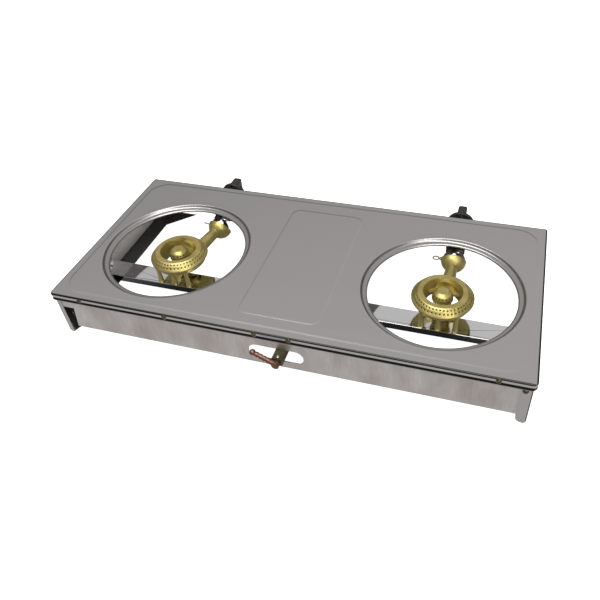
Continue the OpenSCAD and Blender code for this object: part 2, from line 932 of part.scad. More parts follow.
// The centre cap: flat top, round shoulder with ports, belly and open underside
module centre_cap() {
    cap_top = ring_top + cap_rise;
    cap_seat = cap_top - cap_height;
    difference() {
        rotate_extrude()
            polygon([
                [0, cap_top],
                [cap_top_radius, cap_top],
                [cap_shoulder_radius, cap_top - cap_shoulder_drop],
                [cap_radius, cap_top - cap_belly_drop],
                [cap_radius, cap_seat],
                [cap_radius - cap_wall, cap_seat],
                [cap_radius - cap_wall, cap_top - cap_belly_drop],
                [cap_shoulder_radius - cap_wall, cap_top - cap_shoulder_drop - cap_wall / 2],
                [cap_top_radius - cap_wall, cap_top - cap_wall],
                [0, cap_top - cap_wall]]);
        for (i = [0:cap_ports - 1])
            rotate([0, 0, i * 360 / cap_ports])
                translate([(cap_shoulder_radius + cap_radius) / 2, 0,
                    cap_top - (cap_shoulder_drop + cap_belly_drop) / 2])
                    rotate([0, 60, 0])
                        cylinder(r = cap_port_radius, h = 2 * cap_wall + overrun,
                            center = true);
    }
}

module left_centre_cap() {
    color([0.70, 0.58, 0.22])
        at_burner(1)
            centre_cap();
}

module right_centre_cap() {
    color([0.70, 0.58, 0.22])
        at_burner(-1)
            centre_cap();
}

// Place of a burner's centre along X
function burner_x(side) = side > 0 ? opening_offset_x : -opening_offset_x - right_burner_shift;

// Moves a burner piece to its opening and turns it
module at_burner(side) {
    translate([burner_x(side), opening_offset_y, 0])
        rotate([0, 0, side > 0 ? -left_turn : -right_turn])
            children();
}

// The annular bowl under the ring cover
module ring_bowl() {
    bowl_outer = ring_radius - cover_bowl_step;
    inner_foot = ring_flat_inner - cover_inner_lean;
    rotate_extrude()
        polygon([
            [bowl_outer, cover_seat],
            [bowl_outer, cover_seat - bowl_floor],
            [bowl_belly_radius, cover_seat - bowl_belly_share * bowl_depth],
            [bowl_foot_radius + 2 * cast_wall, bowl_bottom + bowl_floor],
            [bowl_foot_radius, bowl_bottom],
            [inner_foot - cast_wall / 2, bowl_bottom],
            [inner_foot, cover_seat],
            [inner_foot + cast_wall, cover_seat],
            [inner_foot + cast_wall, bowl_bottom + bowl_floor],
            [bowl_foot_radius, bowl_bottom + bowl_floor],
            [bowl_belly_radius - cast_wall, cover_seat - bowl_belly_share * bowl_depth],
            [bowl_outer - cast_wall, cover_seat - bowl_floor],
            [bowl_outer - cast_wall, cover_seat]]);
}

// The hub under the centre cap
module hub() {
    hub_top = ring_top + cap_rise - cap_height;
    rotate_extrude()
        polygon([
            [0, bowl_bottom],
            [hub_foot_radius, bowl_bottom],
            [hub_radius + cap_wall, hub_top - hub_depth / 2],
            [hub_radius + cap_wall, hub_top],
            [hub_radius - cap_wall, hub_top],
            [hub_foot_radius - cap_wall, bowl_bottom + bowl_floor],
            [0, bowl_bottom + bowl_floor]]);
}

// The arched bridge, low webs and near rib between the hub and the ring
module bridge() {
    inner_foot = ring_flat_inner - cover_inner_lean;
    hub_top = ring_top + cap_rise - cap_height;
    arch_axis = ring_top - arch_top_drop - arch_radius;
    lean_height = ring_top - cover_seat;
    intersection() {
        difference() {
            union() {
                translate([0, -nose_reach, arch_axis])
                    rotate([90, 0, 0])
                        cylinder(r = arch_radius, h = ring_radius - nose_reach);
                translate([-arch_radius, -ring_radius, bowl_bottom])
                    cube([2 * arch_radius, ring_radius, hub_top - bowl_bottom]);
            }
            translate([0, 0, hub_top - cast_wall - (arch_radius - cast_wall)])
                rotate([90, 0, 0])
                    cylinder(r = arch_radius - cast_wall, h = ring_radius + overrun);
            translate([0, 0, hub_top])
                cylinder(r = cap_radius + easy_fit, h = cover_height + overrun);
            translate([0, 0, bowl_bottom + bowl_floor])
                cylinder(r = hub_radius - cap_wall, h = hub_top);
        }
        union() {
            translate([0, 0, cover_seat])
                cylinder(r1 = inner_foot - face_gap, r2 = ring_flat_inner - face_gap,
                    h = lean_height);
            translate([0, 0, bowl_bottom])
                cylinder(r = inner_foot - face_gap, h = cover_seat - bowl_bottom);
        }
    }
    intersection() {
        translate([0, 0, ring_top - web_drop - web_thickness])
            cylinder(r = inner_foot + cast_wall / 2, h = web_thickness);
        translate([-ring_radius, -ring_radius, ring_top - web_drop - web_thickness])
            cube([2 * ring_radius, ring_radius - web_edge, web_thickness]);
        translate([0, 0, bowl_bottom])
            cylinder(r = ring_radius, h = cover_height + bowl_depth);
    }
    translate([-rib_width / 2, hub_foot_radius - cast_wall, bowl_bottom])
        cube([rib_width, inner_foot - hub_foot_radius + cast_wall / 2, web_thickness]);
}

// The mixing tube with the riser into the bowl, solid; its bore is cut later
module tube_outside() {
    translate([0, -tube_end_reach, gas_level])
        rotate([90, 0, 0])
            cylinder(r1 = tube_ring_radius, r2 = tube_neck_radius,
                h = bell_reach - tube_end_reach - bell_radius / 2);
    translate([0, -tube_end_reach, gas_level])
        sphere(tube_ring_radius);
    translate([0, -riser_reach, gas_level])
        cylinder(r = tube_ring_radius, h = bowl_bottom + bowl_floor - gas_level);
}

module tube_inside() {
    translate([0, -tube_end_reach, gas_level])
        rotate([90, 0, 0])
            cylinder(r1 = tube_bore_ring, r2 = tube_bore_neck, h = bell_reach - tube_end_reach);
    translate([0, -riser_reach, gas_level])
        cylinder(r = tube_bore_ring - cast_wall / 2, h = bowl_bottom + bowl_floor - gas_level + lap);
}

// The open cup at the front of the mixing tube
module bell() {
    translate([0, -bell_reach, gas_level]) {
        difference() {
            union() {
                sphere(bell_radius);
                rotate([0, 90, 0])
                    cylinder(r = axle_boss_radius, h = wire_end);
            }
            sphere(bell_inner);
            rotate([0, 90, 0])
                cylinder(r = wire_radius + running_fit, h = 2 * wire_end + overrun,
                    center = true);
            rotate([90 - mouth_angle, 0, 0])
                translate([-2 * bell_radius, -2 * bell_radius, mouth_lead])
                    cube([4 * bell_radius, 4 * bell_radius, 2 * bell_radius]);
        }
        difference() {
            rotate([0, 90, 0])
                cylinder(r = axle_boss_radius, h = wire_end);
            rotate([0, 90, 0])
                cylinder(r = axle_boss_radius + overrun, h = 2 * bell_inner + lap,
                    center = true);
            rotate([0, 90, 0])
                cylinder(r = wire_radius + running_fit, h = 2 * wire_end + overrun,
                    center = true);
        }
    }
}

// A post that stands on the rail, drawn in at its waist
module burner_post() {
    rise = post_top - rail_top;
    waist = rise * post_waist_share;
    translate([0, 0, rail_top]) {
        cylinder(r1 = post_foot_radius, r2 = post_radius, h = waist);
        translate([0, 0, waist])
            cylinder(r1 = post_radius, r2 = post_foot_radius, h = rise - waist);
    }
}

module burner_body(side) {
    translate([burner_x(side), opening_offset_y, 0])
        for (post = [-1, 0, 1])
            difference() {
                translate([post * post_spacing, post_reach, 0])
                    burner_post();
                translate([post * post_spacing, post_reach, rail_top - overrun])
                    cylinder(r = small_shank + easy_fit, h = screw_length);
                ring_bowl_void();
            }
    at_burner(side) {
        difference() {
            union() {
                ring_bowl();
                hub();
                bridge();
                difference() {
                    tube_outside();
                    translate([0, -bell_reach, gas_level])
                        sphere(bell_inner);
                }
            }
            tube_inside();
        }
        difference() {
            bell();
            tube_inside();
        }
    }
}

// Space inside the bowl's channel that the posts keep clear of
module ring_bowl_void() {
    bowl_outer = ring_radius - cover_bowl_step;
    translate([0, 0, cover_seat - bowl_floor])
        cylinder(r = bowl_outer - cast_wall + lap, h = cover_height);
}

module left_burner_body() {
    color([0.70, 0.58, 0.26])
        burner_body(1);
}

module right_burner_body() {
    color([0.70, 0.58, 0.26])
        burner_body(-1);
}

module burner_screws() {
    color([0.72, 0.70, 0.66])
        for (side = sides, post = sides)
            translate([burner_x(side) + post * post_spacing,
                opening_offset_y + post_reach, rail_top - rail_sheet])
                mirror([0, 0, 1])
                    pan_screw(small_shank, small_head, small_head_height,
                        screw_length - small_head_height);
}

// Puts a damper piece on the axle through the bell, turned to its rest tilt
module at_damper(side) {
    at_burner(side)
        translate([0, -bell_reach, gas_level])
            rotate([side > 0 ? -left_flap_rise : -right_flap_rise, 0, 0])
                children();
}

module damper_flap() {
    difference() {
        union() {
            translate([0, 0, -flap_thickness / 2])
                cylinder(r = flap_radius, h = flap_thickness);
            rotate([0, 90, 0])
                cylinder(r = flap_sleeve_radius, h = flap_sleeve_length, center = true);
        }
        translate([-flap_slot / 2, -flap_radius - overrun, -flap_thickness])
            cube([flap_slot, flap_radius + overrun - flap_sleeve_radius - flap_slot_back,
                2 * flap_thickness]);
        rotate([0, 90, 0])
            cylinder(r = wire_radius, h = flap_sleeve_length + 2 * flap_radius, center = true);
    }
}

module left_damper_flap() {
    color([0.45, 0.42, 0.36])
        at_damper(1)
            damper_flap();
}

module right_damper_flap() {
    color([0.45, 0.42, 0.36])
        at_damper(-1)
            damper_flap();
}

// The axle with a flat loop on its +X end, bent level when the flap is at rest
module damper_wire(rise) {
    loop_x = wire_end + face_gap + lap;
    bend = loop_width / 2;
    axle_length = loop_x + bell_radius - face_gap;
    translate([face_gap - bell_radius, 0, 0])
        rotate([0, 90, 0])
            cylinder(r = wire_radius, h = axle_length);
    rotate([rise, 0, 0]) {
        translate([loop_x + wire_radius, 0, 0])
            sphere(wire_radius + lap);
        translate([loop_x + wire_radius + bend, 0, 0]) {
            for (side = sides)
                translate([0, side * bend, 0])
                    rotate([0, 90, 0])
                        cylinder(r = wire_radius, h = loop_length - loop_width);
            rotate([0, 0, 90])
                rotate_extrude(angle = 180)
                    translate([bend, 0])
                        circle(wire_radius);
            translate([loop_length - loop_width, 0, 0])
                rotate([0, 0, -90])
                    rotate_extrude(angle = 180)
                        translate([bend, 0])
                            circle(wire_radius);
        }
    }
}

module left_damper_wire() {
    color([0.62, 0.42, 0.32])
        at_damper(1)
            damper_wire(left_flap_rise + left_loop_turn);
}

module right_damper_wire() {
    color([0.55, 0.56, 0.36])
        at_damper(-1)
            damper_wire(right_flap_rise);
}

// Moves a tap piece to its place along X
module at_tap(side) {
    translate([side > 0 ? left_tap_x : right_tap_x, 0, 0])
        children();
}

module injector() {
    translate([-injector_offset, saddle_rear_y, gas_level])
        rotate([-90, 0, 0])
            difference() {
                union() {
                    cylinder(r = injector_hex_radius, h = injector_hex_length, $fn = hexagon);
                    translate([0, 0, injector_hex_length - lap])
                        cylinder(r = injector_body_radius,
                            h = injector_length - injector_hex_length - injector_jet_length + lap);
                    translate([0, 0, injector_length - injector_jet_length])
                        cylinder(r1 = injector_body_radius, r2 = injector_tip_radius,
                            h = injector_jet_length);
                }
                translate([0, 0, -overrun])
                    cylinder(r = injector_bore, h = injector_length - injector_jet_length + overrun);
                cylinder(r = injector_jet, h = injector_length + overrun);
            }
}

module left_injector() {
    color([0.75, 0.74, 0.70])
        at_tap(1)
            injector();
}

module right_injector() {
    color([0.75, 0.74, 0.70])
        at_tap(-1)
            injector();
}

// The tap body: a saddle round the manifold and a barrel for the plug above it
module tap_body() {
    color([0.42, 0.36, 0.22])
        difference() {
            union() {
                translate([-saddle_half_width, saddle_front_y, gas_level - saddle_height / 2])
                    cube([2 * saddle_half_width, saddle_length, saddle_height]);
                translate([0, tap_barrel_rear, spindle_level])
                    rotate([90, 0, 0])
                        cylinder(r = tap_barrel_radius, h = tap_barrel_rear - tap_barrel_front);
                translate([tap_boss_offset, saddle_rear_y - overrun, gas_level])
                    rotate([-90, 0, 0])
                        cylinder(r = tap_boss_radius, h = tap_boss_reach + overrun);
            }
            translate([0, manifold_y, gas_level])
                rotate([0, 90, 0])
                    cylinder(r = pipe_radius + running_fit, h = 3 * saddle_half_width,
                        center = true);
            translate([0, outlet_y, spindle_level])
                rotate([90, 0, 0])
                    cylinder(r = plug_radius + running_fit,
                        h = outlet_y - tap_barrel_front + overrun);
            translate([0, manifold_y, gas_level])
                cylinder(r = tap_way_radius, h = spindle_level - gas_level);
            translate([0, outlet_y, gas_level])
                cylinder(r = tap_way_radius, h = spindle_level - gas_level);
            translate([-injector_offset - tap_way_radius, outlet_y, gas_level])
                rotate([0, 90, 0])
                    cylinder(r = injector_bore, h = injector_offset + tap_way_radius);
            translate([-injector_offset, outlet_y, gas_level])
                rotate([-90, 0, 0])
                    cylinder(r = injector_bore, h = saddle_length);
        }
}

module left_tap_body() {
    at_tap(1)
        tap_body();
}

module right_tap_body() {
    at_tap(-1)
        tap_body();
}

// A round bar with one flat, along +Y from Y zero, and the same shape as a cutter
module flatted_bar(radius, length) {
    rotate([-90, 0, 0])
        intersection() {
            cylinder(r = radius, h = length);
            translate([-radius, -radius, 0])
                cube([2 * radius, radius + radius * flat_share, length]);
        }
}

module tap_plug() {
    color([0.74, 0.62, 0.34])
        translate([0, 0, spindle_level])
            difference() {
                translate([0, plug_front_y, 0])
                    rotate([-90, 0, 0])
                        cylinder(r = plug_radius, h = plug_length - overrun);
                translate([0, plug_front_y - overrun, 0])
                    flatted_bar(spindle_radius + running_fit, plug_bore_depth + overrun);
                translate([0, manifold_y, 0])
                    rotate([-90, 0, 0])
                        cylinder(r = plug_port_radius, h = plug_length);
                translate([0, manifold_y, 0])
                    rotate([0, -90, 0])
                        cylinder(r = plug_port_radius, h = plug_radius + overrun);
            }
}

module left_tap_plug() {
    at_tap(1)
        tap_plug();
}

module right_tap_plug() {
    at_tap(-1)
        tap_plug();
}

// The return spring, as the sleeve that its coils fill between plug and collar
module tap_spring() {
    rest_length = plug_front_y - collar_front_y - collar_depth - 2 * face_gap;
    color([0.66, 0.66, 0.68])
        translate([0, plug_front_y - face_gap, spindle_level])
            rotate([90, 0, 0])
                difference() {
                    cylinder(r = spring_outer, h = rest_length);
                    translate([0, 0, -overrun])
                        cylinder(r = spring_inner, h = rest_length + 2 * overrun);
                }
}

module left_tap_spring() {
    at_tap(1)
        tap_spring();
}

module right_tap_spring() {
    at_tap(-1)
        tap_spring();
}

module tap_cap() {
    color([0.60, 0.58, 0.52])
        translate([0, tap_barrel_front, spindle_level])
            rotate([90, 0, 0])
                difference() {
                    cylinder(r = cap_nut_radius, h = cap_reach);
                    translate([0, 0, -overrun])
                        cylinder(r = cap_pocket_radius, h = cap_pocket_depth + overrun);
                    cylinder(r = spindle_radius + running_fit, h = cap_reach + overrun);
                }
}

module left_tap_cap() {
    at_tap(1)
        tap_cap();
}

module right_tap_cap() {
    at_tap(-1)
        tap_cap();
}

module spindle() {
    outer_y = knob_back_y - knob_socket_depth + face_gap;
    color([0.70, 0.69, 0.66])
        translate([0, 0, spindle_level]) {
            translate([0, outer_y, 0])
                flatted_bar(spindle_radius, spindle_inner_y - outer_y);
            difference() {
                translate([0, collar_front_y, 0])
                    rotate([-90, 0, 0])
                        cylinder(r = collar_radius, h = collar_depth);
                translate([0, collar_front_y - overrun, 0])
                    flatted_bar(spindle_radius - lap, collar_depth + 2 * overrun);
            }
        }
}

module left_spindle() {
    at_tap(1)
        spindle();
}

module right_spindle() {
    at_tap(-1)
        spindle();
}

// The knob: hollow round skirt, spindle socket and an upright grip with a pointer groove
module knob() {
    grip_front = knob_skirt_depth + grip_depth;
    color([0.09, 0.09, 0.09])
        translate([0, knob_back_y, spindle_level])
            difference() {
                rotate([90, 0, 0])
                    difference() {
                        union() {
                            cylinder(r = knob_radius, h = knob_rim_depth);
                            translate([0, 0, knob_rim_depth])
                                cylinder(r1 = knob_radius, r2 = knob_dome_radius,
                                    h = knob_skirt_depth - knob_rim_depth);
                            linear_extrude(grip_front)
                                rounded_outline(grip_width, 2 * grip_reach,
                                    grip_corner_radius, grip_corner_radius);
                        }
                        difference() {
                            translate([0, 0, -overrun])
                                cylinder(r = knob_radius - knob_wall,
                                    h = knob_recess_depth + overrun);
                            translate([0, 0, -2 * overrun])
                                cylinder(r = knob_socket_radius,
                                    h = knob_recess_depth + 3 * overrun);
                        }
                        translate([-pointer_width / 2, grip_width / 2, grip_front - pointer_depth])
                            cube([pointer_width, grip_reach, grip_depth]);
                    }
                translate([0, -knob_socket_depth, 0])
                    flatted_bar(spindle_radius + running_fit, knob_socket_depth + overrun);
            }
}

module left_knob() {
    at_tap(1)
        knob();
}

module right_knob() {
    at_tap(-1)
        knob();
}

module bezel() {
    color([0.78, 0.78, 0.80])
        translate([0, boss_face_y, spindle_level])
            rotate([90, 0, 0])
                difference() {
                    cylinder(r = bezel_outer, h = bezel_thickness);
                    translate([0, 0, -overrun])
                        cylinder(r = bezel_inner, h = bezel_thickness + 2 * overrun);
                }
}

module left_bezel() {
    at_tap(1)
        bezel();
}

module right_bezel() {
    at_tap(-1)
        bezel();
}

// The bracket under each tap: a leaf below the saddle and a leaf against the front panel
module tap_bracket() {
    leaf_top = gas_level - saddle_height / 2;
    leaf_length = saddle_rear_y - front_inner_y;
    difference() {
        union() {
            translate([-saddle_half_width, front_inner_y, leaf_top - bracket_sheet])
                cube([2 * saddle_half_width, leaf_length, bracket_sheet]);
            translate([-saddle_half_width, front_inner_y, leaf_top - bracket_rise])
                cube([2 * saddle_half_width, bracket_sheet, bracket_rise]);
        }
        for (side = sides)
            translate([side * bracket_screw_spacing / 2, saddle_rear_y - small_head - lap,
                leaf_top - bracket_sheet - overrun])
                cylinder(r = small_shank + easy_fit, h = bracket_sheet + 2 * overrun);
    }
}

module tap_brackets() {
    color([0.30, 0.29, 0.28])
        for (side = sides)
            at_tap(side)
                tap_bracket();
}

module bracket_screws() {
    leaf_bottom = gas_level - saddle_height / 2 - bracket_sheet;
    color([0.72, 0.70, 0.66])
        for (side = sides, spread = sides)
            at_tap(side)
                translate([spread * bracket_screw_spacing / 2, saddle_rear_y - small_head - lap,
                    leaf_bottom])
                    mirror([0, 0, 1])
                        pan_screw(small_shank, small_head, small_head_height, bracket_sheet);
}

// A pipe along +Z from Z zero
module pipe(length) {
    difference() {
        cylinder(r = pipe_radius, h = length);
        translate([0, 0, -overrun])
            cylinder(r = pipe_radius - pipe_wall, h = length + 2 * overrun);
    }
}

module front_manifold() {
    left_reach = left_tap_x + saddle_half_width + manifold_overhang;
    right_reach = -right_tap_x + saddle_half_width + manifold_overhang;
    color([0.62, 0.60, 0.56])
        translate([0, manifold_y, gas_level])
            for (span = [[-right_reach, inlet_x - tee_half_width],
                         [inlet_x + tee_half_width, left_reach]])
                translate([span[0], 0, 0])
                    rotate([0, 90, 0])
                        difference() {
                            cylinder(r = pipe_radius, h = span[1] - span[0]);
                            translate([0, 0, span[0] < inlet_x - tee_half_width ? pipe_wall
                                : -overrun])
                                cylinder(r = pipe_radius - pipe_wall,
                                    h = span[1] - span[0] + overrun - pipe_wall);
                            for (tap = [left_tap_x, right_tap_x])
                                translate([0, 0, tap - span[0]])
                                    rotate([0, -90, 0])
                                        cylinder(r = plug_port_radius, h = 2 * pipe_radius);
                        }
}

module manifold_tee() {
    block = pipe_radius + 2 * pipe_wall;
    color([0.66, 0.56, 0.32])
        translate([inlet_x, manifold_y, gas_level])
            difference() {
                translate([-tee_half_width, -block, -block])
                    cube([2 * tee_half_width, tee_length, 2 * block]);
                rotate([0, 90, 0])
                    cylinder(r = pipe_radius - pipe_wall, h = 2 * tee_half_width + overrun,
                        center = true);
                rotate([-90, 0, 0])
                    cylinder(r = pipe_radius - pipe_wall, h = tee_length + overrun);
            }
}

module feed_pipe() {
    start = manifold_y - pipe_radius - 2 * pipe_wall + tee_length;
    color([0.62, 0.60, 0.56])
        translate([inlet_x, start, gas_level])
            rotate([-90, 0, 0])
                pipe(inlet_block_front_y - start);
}

module union_nut() {
    color([0.68, 0.58, 0.34])
        translate([inlet_x, inlet_block_front_y - union_nut_length, gas_level])
            rotate([-90, 0, 0])
                difference() {
                    cylinder(r = union_nut_radius, h = union_nut_length, $fn = hexagon);
                    translate([0, 0, -overrun])
                        cylinder(r = pipe_radius + running_fit,
                            h = union_nut_length + 2 * overrun);
                }
}

module inlet_block() {
    color([0.44, 0.38, 0.26])
        difference() {
            translate([inlet_x - inlet_block_width / 2, inlet_block_front_y,
                gas_level - inlet_block_height / 2])
                cube([inlet_block_width, inlet_block_length, inlet_block_height]);
            translate([inlet_x, inlet_block_front_y - overrun, gas_level])
                rotate([-90, 0, 0])
                    cylinder(r = inlet_bore_radius, h = inlet_block_length);
            translate([inlet_x, inlet_block_rear_y + overrun, gas_level])
                rotate([90, 0, 0])
                    cylinder(r = nozzle_stub_radius + running_fit,
                        h = nozzle_stub_length + face_gap + overrun);
            translate([inlet_x, inlet_block_rear_y - inlet_screw_inset,
                gas_level + nozzle_stub_radius + lap])
                cylinder(r = small_shank + easy_fit, h = inlet_block_height);
        }
}

module inlet_screw() {
    color([0.76, 0.72, 0.66])
        translate([inlet_x, inlet_block_rear_y - inlet_screw_inset,
            gas_level + inlet_block_height / 2])
            pan_screw(small_shank, small_head, small_head_height, inlet_screw_length);
}

// The nozzle: a hub that turns on the inlet block, a neck, barbs and a ball tip
module hose_nozzle() {
    hub_middle = nozzle_hub_length * nozzle_axis_share;
    barb_start = nozzle_hub_radius + nozzle_root_length;
    color([0.60, 0.42, 0.32])
        translate([inlet_x, inlet_block_rear_y + face_gap, gas_level])
            difference() {
                union() {
                    translate([0, -nozzle_stub_length, 0])
                        rotate([-90, 0, 0])
                            cylinder(r = nozzle_stub_radius, h = nozzle_stub_length + lap);
                    rotate([-90, 0, 0])
                        cylinder(r = nozzle_hub_radius, h = nozzle_hub_length);
                    translate([0, hub_middle, 0])
                        rotate([0, 90 - nozzle_rise, 0]) {
                            cylinder(r = nozzle_root_radius, h = barb_start);
                            cylinder(r = nozzle_radius, h = nozzle_length - nozzle_ball_radius);
                            for (i = [0:barb_count - 1])
                                translate([0, 0, barb_start + i * barb_pitch])
                                    cylinder(r1 = barb_radius, r2 = nozzle_radius,
                                        h = barb_pitch - face_gap);
                            translate([0, 0, nozzle_length - nozzle_ball_radius])
                                sphere(nozzle_ball_radius);
                        }
                }
                translate([0, -nozzle_stub_length - overrun, 0])
                    rotate([-90, 0, 0])
                        cylinder(r = nozzle_bore_radius, h = nozzle_stub_length + hub_middle);
                translate([0, hub_middle, 0])
                    rotate([0, 90 - nozzle_rise, 0])
                        cylinder(r = nozzle_bore_radius, h = nozzle_length + overrun);
            }
}

top_plate();
front_panel();
back_panel();
left_end_panel();
right_end_panel();
rear_left_leg();
rear_right_leg();
front_left_leg();
front_right_leg();
leg_screws();
skirt_screws();
burner_rail();
rail_screws();
left_burner_body();
right_burner_body();
left_ring_cover();
right_ring_cover();
left_centre_cap();
right_centre_cap();
burner_screws();
left_damper_flap();
right_damper_flap();
left_damper_wire();
right_damper_wire();
left_injector();
right_injector();
left_tap_body();
right_tap_body();
left_tap_plug();
right_tap_plug();
left_tap_spring();
right_tap_spring();
left_tap_cap();
right_tap_cap();
left_spindle();
right_spindle();
left_knob();
right_knob();
left_bezel();
right_bezel();
tap_brackets();
bracket_screws();
front_manifold();
manifold_tee();
feed_pipe();
union_nut();
inlet_block();
inlet_screw();
hose_nozzle();
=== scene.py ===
"""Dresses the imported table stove: finer forms, finishes, a pale floor and soft studio light."""

import math

import bmesh
import bpy
from mathutils import Matrix, Quaternion, Vector
from mathutils.geometry import tessellate_polygon


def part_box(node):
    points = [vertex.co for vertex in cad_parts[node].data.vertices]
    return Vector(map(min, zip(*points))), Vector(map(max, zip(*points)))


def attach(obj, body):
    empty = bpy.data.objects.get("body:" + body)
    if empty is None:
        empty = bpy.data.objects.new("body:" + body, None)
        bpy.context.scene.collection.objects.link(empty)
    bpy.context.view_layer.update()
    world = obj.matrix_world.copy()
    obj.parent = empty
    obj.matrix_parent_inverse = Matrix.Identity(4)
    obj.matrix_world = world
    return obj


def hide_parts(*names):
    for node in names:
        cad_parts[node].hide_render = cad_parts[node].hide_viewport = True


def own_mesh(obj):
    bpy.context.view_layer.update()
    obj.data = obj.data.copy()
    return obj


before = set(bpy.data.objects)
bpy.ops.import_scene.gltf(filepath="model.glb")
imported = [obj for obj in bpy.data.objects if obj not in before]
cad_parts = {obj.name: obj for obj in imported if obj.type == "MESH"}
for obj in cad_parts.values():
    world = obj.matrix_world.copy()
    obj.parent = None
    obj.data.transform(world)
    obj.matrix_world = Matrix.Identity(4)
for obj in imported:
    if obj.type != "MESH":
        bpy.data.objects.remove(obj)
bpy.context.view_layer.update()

MM = 0.001
SIDES = ("left", "right")

# Sizes of the top plate in millimetres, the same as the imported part's
PLATE_HALF_X = 350.0
PLATE_HALF_Y = 160.0
PLATE_TOP = 82.0
PANEL_RAISE = 0.4
FIELD_RAISE = 0.5
FIELD_TOP = PLATE_TOP - PANEL_RAISE
MARGIN_TOP = FIELD_TOP - FIELD_RAISE
SKIRT_BOTTOM = 69.0
SHEET = 0.8
REAR_RADIUS = 8.0
FRONT_RADIUS = 3.5
LEAST_RADIUS = 0.6
MARGIN_WIDTH = 13.0
FIELD_RADIUS = 32.0
PANEL_HALF_X = 60.0
PANEL_HALF_Y = 125.0
PANEL_RADIUS = 14.0
PANEL_SHIFT_Y = 3.5
OPENING_X = 210.5
OPENING_Y = 16.5
RIM_RADIUS = 115.8

# The skirt as (inset, height), from its turned-in lower edge over the groove to the flat margin
SKIRT_PROFILE = (
    (2.2, SKIRT_BOTTOM + 0.05),
    (0.35, SKIRT_BOTTOM + 0.05),
    (0.05, SKIRT_BOTTOM + 0.35),
    (0.0, SKIRT_BOTTOM + 0.75),
    (0.05, 70.1),
    (0.25, 70.6),
    (1.42, 74.25),
    (1.55, 74.6),
    (1.3, 74.88),
    (0.2, 74.97),
    (0.0, 75.3),
    (0.0, 78.7),
    (0.1, 79.35),
    (0.38, 79.95),
    (0.82, 80.45),
    (1.4, 80.82),
    (2.05, 81.03),
    (2.8, MARGIN_TOP),
    (4.4, MARGIN_TOP),
    (8.0, MARGIN_TOP),
)
# Loops of the slopes round the field and the panel, by their distance outside the drawn outline
FIELD_LOOPS = (3.0, 2.0, 1.2, 0.5, -0.2, -0.9, -1.6, -2.4, -3.4)
FIELD_SLOPE_START = 2.0
FIELD_SLOPE = 4.4
PANEL_LOOPS = (-4.0, -1.3, -0.9, -0.3, 0.3, 0.9, 1.3, 4.0)
PANEL_SLOPE_START = 1.3
PANEL_SLOPE = 2.6
# A drawn rim as (radius, height above the field), from the flat sheet down to its turned lip
RIM_PROFILE = (
    (122.5, 0.0),
    (121.4, 0.03),
    (120.4, 0.09),
    (119.4, 0.13),
    (118.2, 0.12),
    (117.2, 0.05),
    (116.6, -0.06),
    (116.05, -0.4),
    (115.7, -0.95),
    (115.2, -1.9),
    (114.5, -3.0),
    (113.9, -3.75),
    (113.1, -4.25),
    (112.0, -4.5),
    (110.2, -4.62),
    (108.9, -4.8),
    (107.9, -5.2),
    (107.2, -5.85),
    (106.8, -6.6),
    (106.65, -7.3),
    (106.65, -7.95),
)

# Screw cups: the profile as (radius, distance), and the places of the screws
CUP_PROFILE = (
    (4.1, 0.0),
    (3.95, 0.2),
    (3.65, 0.32),
    (3.35, 0.26),
    (3.1, 0.12),
    (2.8, 0.04),
    (1.2, 0.02),
)
SKIRT_SCREWS_X = (298.2, 158.2, 21.7, -28.0, -303.1)
SKIRT_SCREW_Z = 76.6
LEG_SCREW_X = 336.6
LEG_SCREW_Z = 64.5
LEG_FACE_Y = 157.3

# Knobs: the round skirt as (radius, distance), the upright grip as (distance, inset)
TAPS_X = (200.0, -213.0)
SPINDLE_Z = 57.0
KNOB_PROFILE = (
    (21.2, 6.0),
    (21.2, 0.6),
    (21.6, 0.05),
    (22.5, 0.05),
    (22.95, 0.6),
    (22.95, 5.0),
    (22.6, 6.2),
    (21.4, 7.2),
    (19.0, 8.7),
    (16.4, 10.2),
    (13.0, 11.4),
    (7.5, 11.9),
    (0.0, 12.0),
)
GRIP_SECTIONS = ((9.0, 0.05), (20.0, 0.1), (25.5, 0.35), (27.4, 0.9), (28.6, 2.1), (29.0, 3.9))
GRIP_HALF_WIDTH = 7.5
GRIP_HALF_LENGTH = 20.5
GRIP_RADIUS = 3.0
GRIP_LEAST_RADIUS = 0.8

# Return springs of the taps
WIRE_RADIUS = 0.45
WIRE_SIDES = 10
COIL_TURNS = 3
COIL_STEPS = 32

# Fineness of round forms
CORNER_STEPS = 14
RIM_STEPS = 180
KNOB_STEPS = 96
CUP_STEPS = 48


# Meshes


def new_piece(name, bm, body, material):
    """Turns a bmesh in millimetres into a smooth object that rides on a body."""
    mesh = bpy.data.meshes.new(name)
    bmesh.ops.scale(bm, vec=(MM, MM, MM), verts=bm.verts)
    bmesh.ops.recalc_face_normals(bm, faces=bm.faces)
    bm.to_mesh(mesh)
    bm.free()
    for face in mesh.polygons:
        face.use_smooth = True
    piece = bpy.data.objects.new(name, mesh)
    bpy.context.scene.collection.objects.link(piece)
    mesh.materials.append(material)
    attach(piece, body)
    return piece


def on_circle(radius, step, steps):
    """A point of a circle about the origin."""
    angle = 2 * math.pi * step / steps
    return radius * math.cos(angle), radius * math.sin(angle)


def rounded_loop(half_x, half_y, front_radius, rear_radius, centre=(0.0, 0.0)):
    """Points of a rounded rectangle, counter-clockwise from its +X +Y corner."""
    corners = (
        (half_x, half_y, rear_radius, 0.0),
        (-half_x, half_y, rear_radius, 90.0),
        (-half_x, -half_y, front_radius, 180.0),
        (half_x, -half_y, front_radius, 270.0),
    )
    points = []
    for x, y, radius, start in corners:
        middle_x = x - math.copysign(radius, x) + centre[0]
        middle_y = y - math.copysign(radius, y) + centre[1]
        for step in range(CORNER_STEPS + 1):
            angle = math.radians(start + 90.0 * step / CORNER_STEPS)
            points.append(
                (middle_x + radius * math.cos(angle), middle_y + radius * math.sin(angle))
            )
    return points


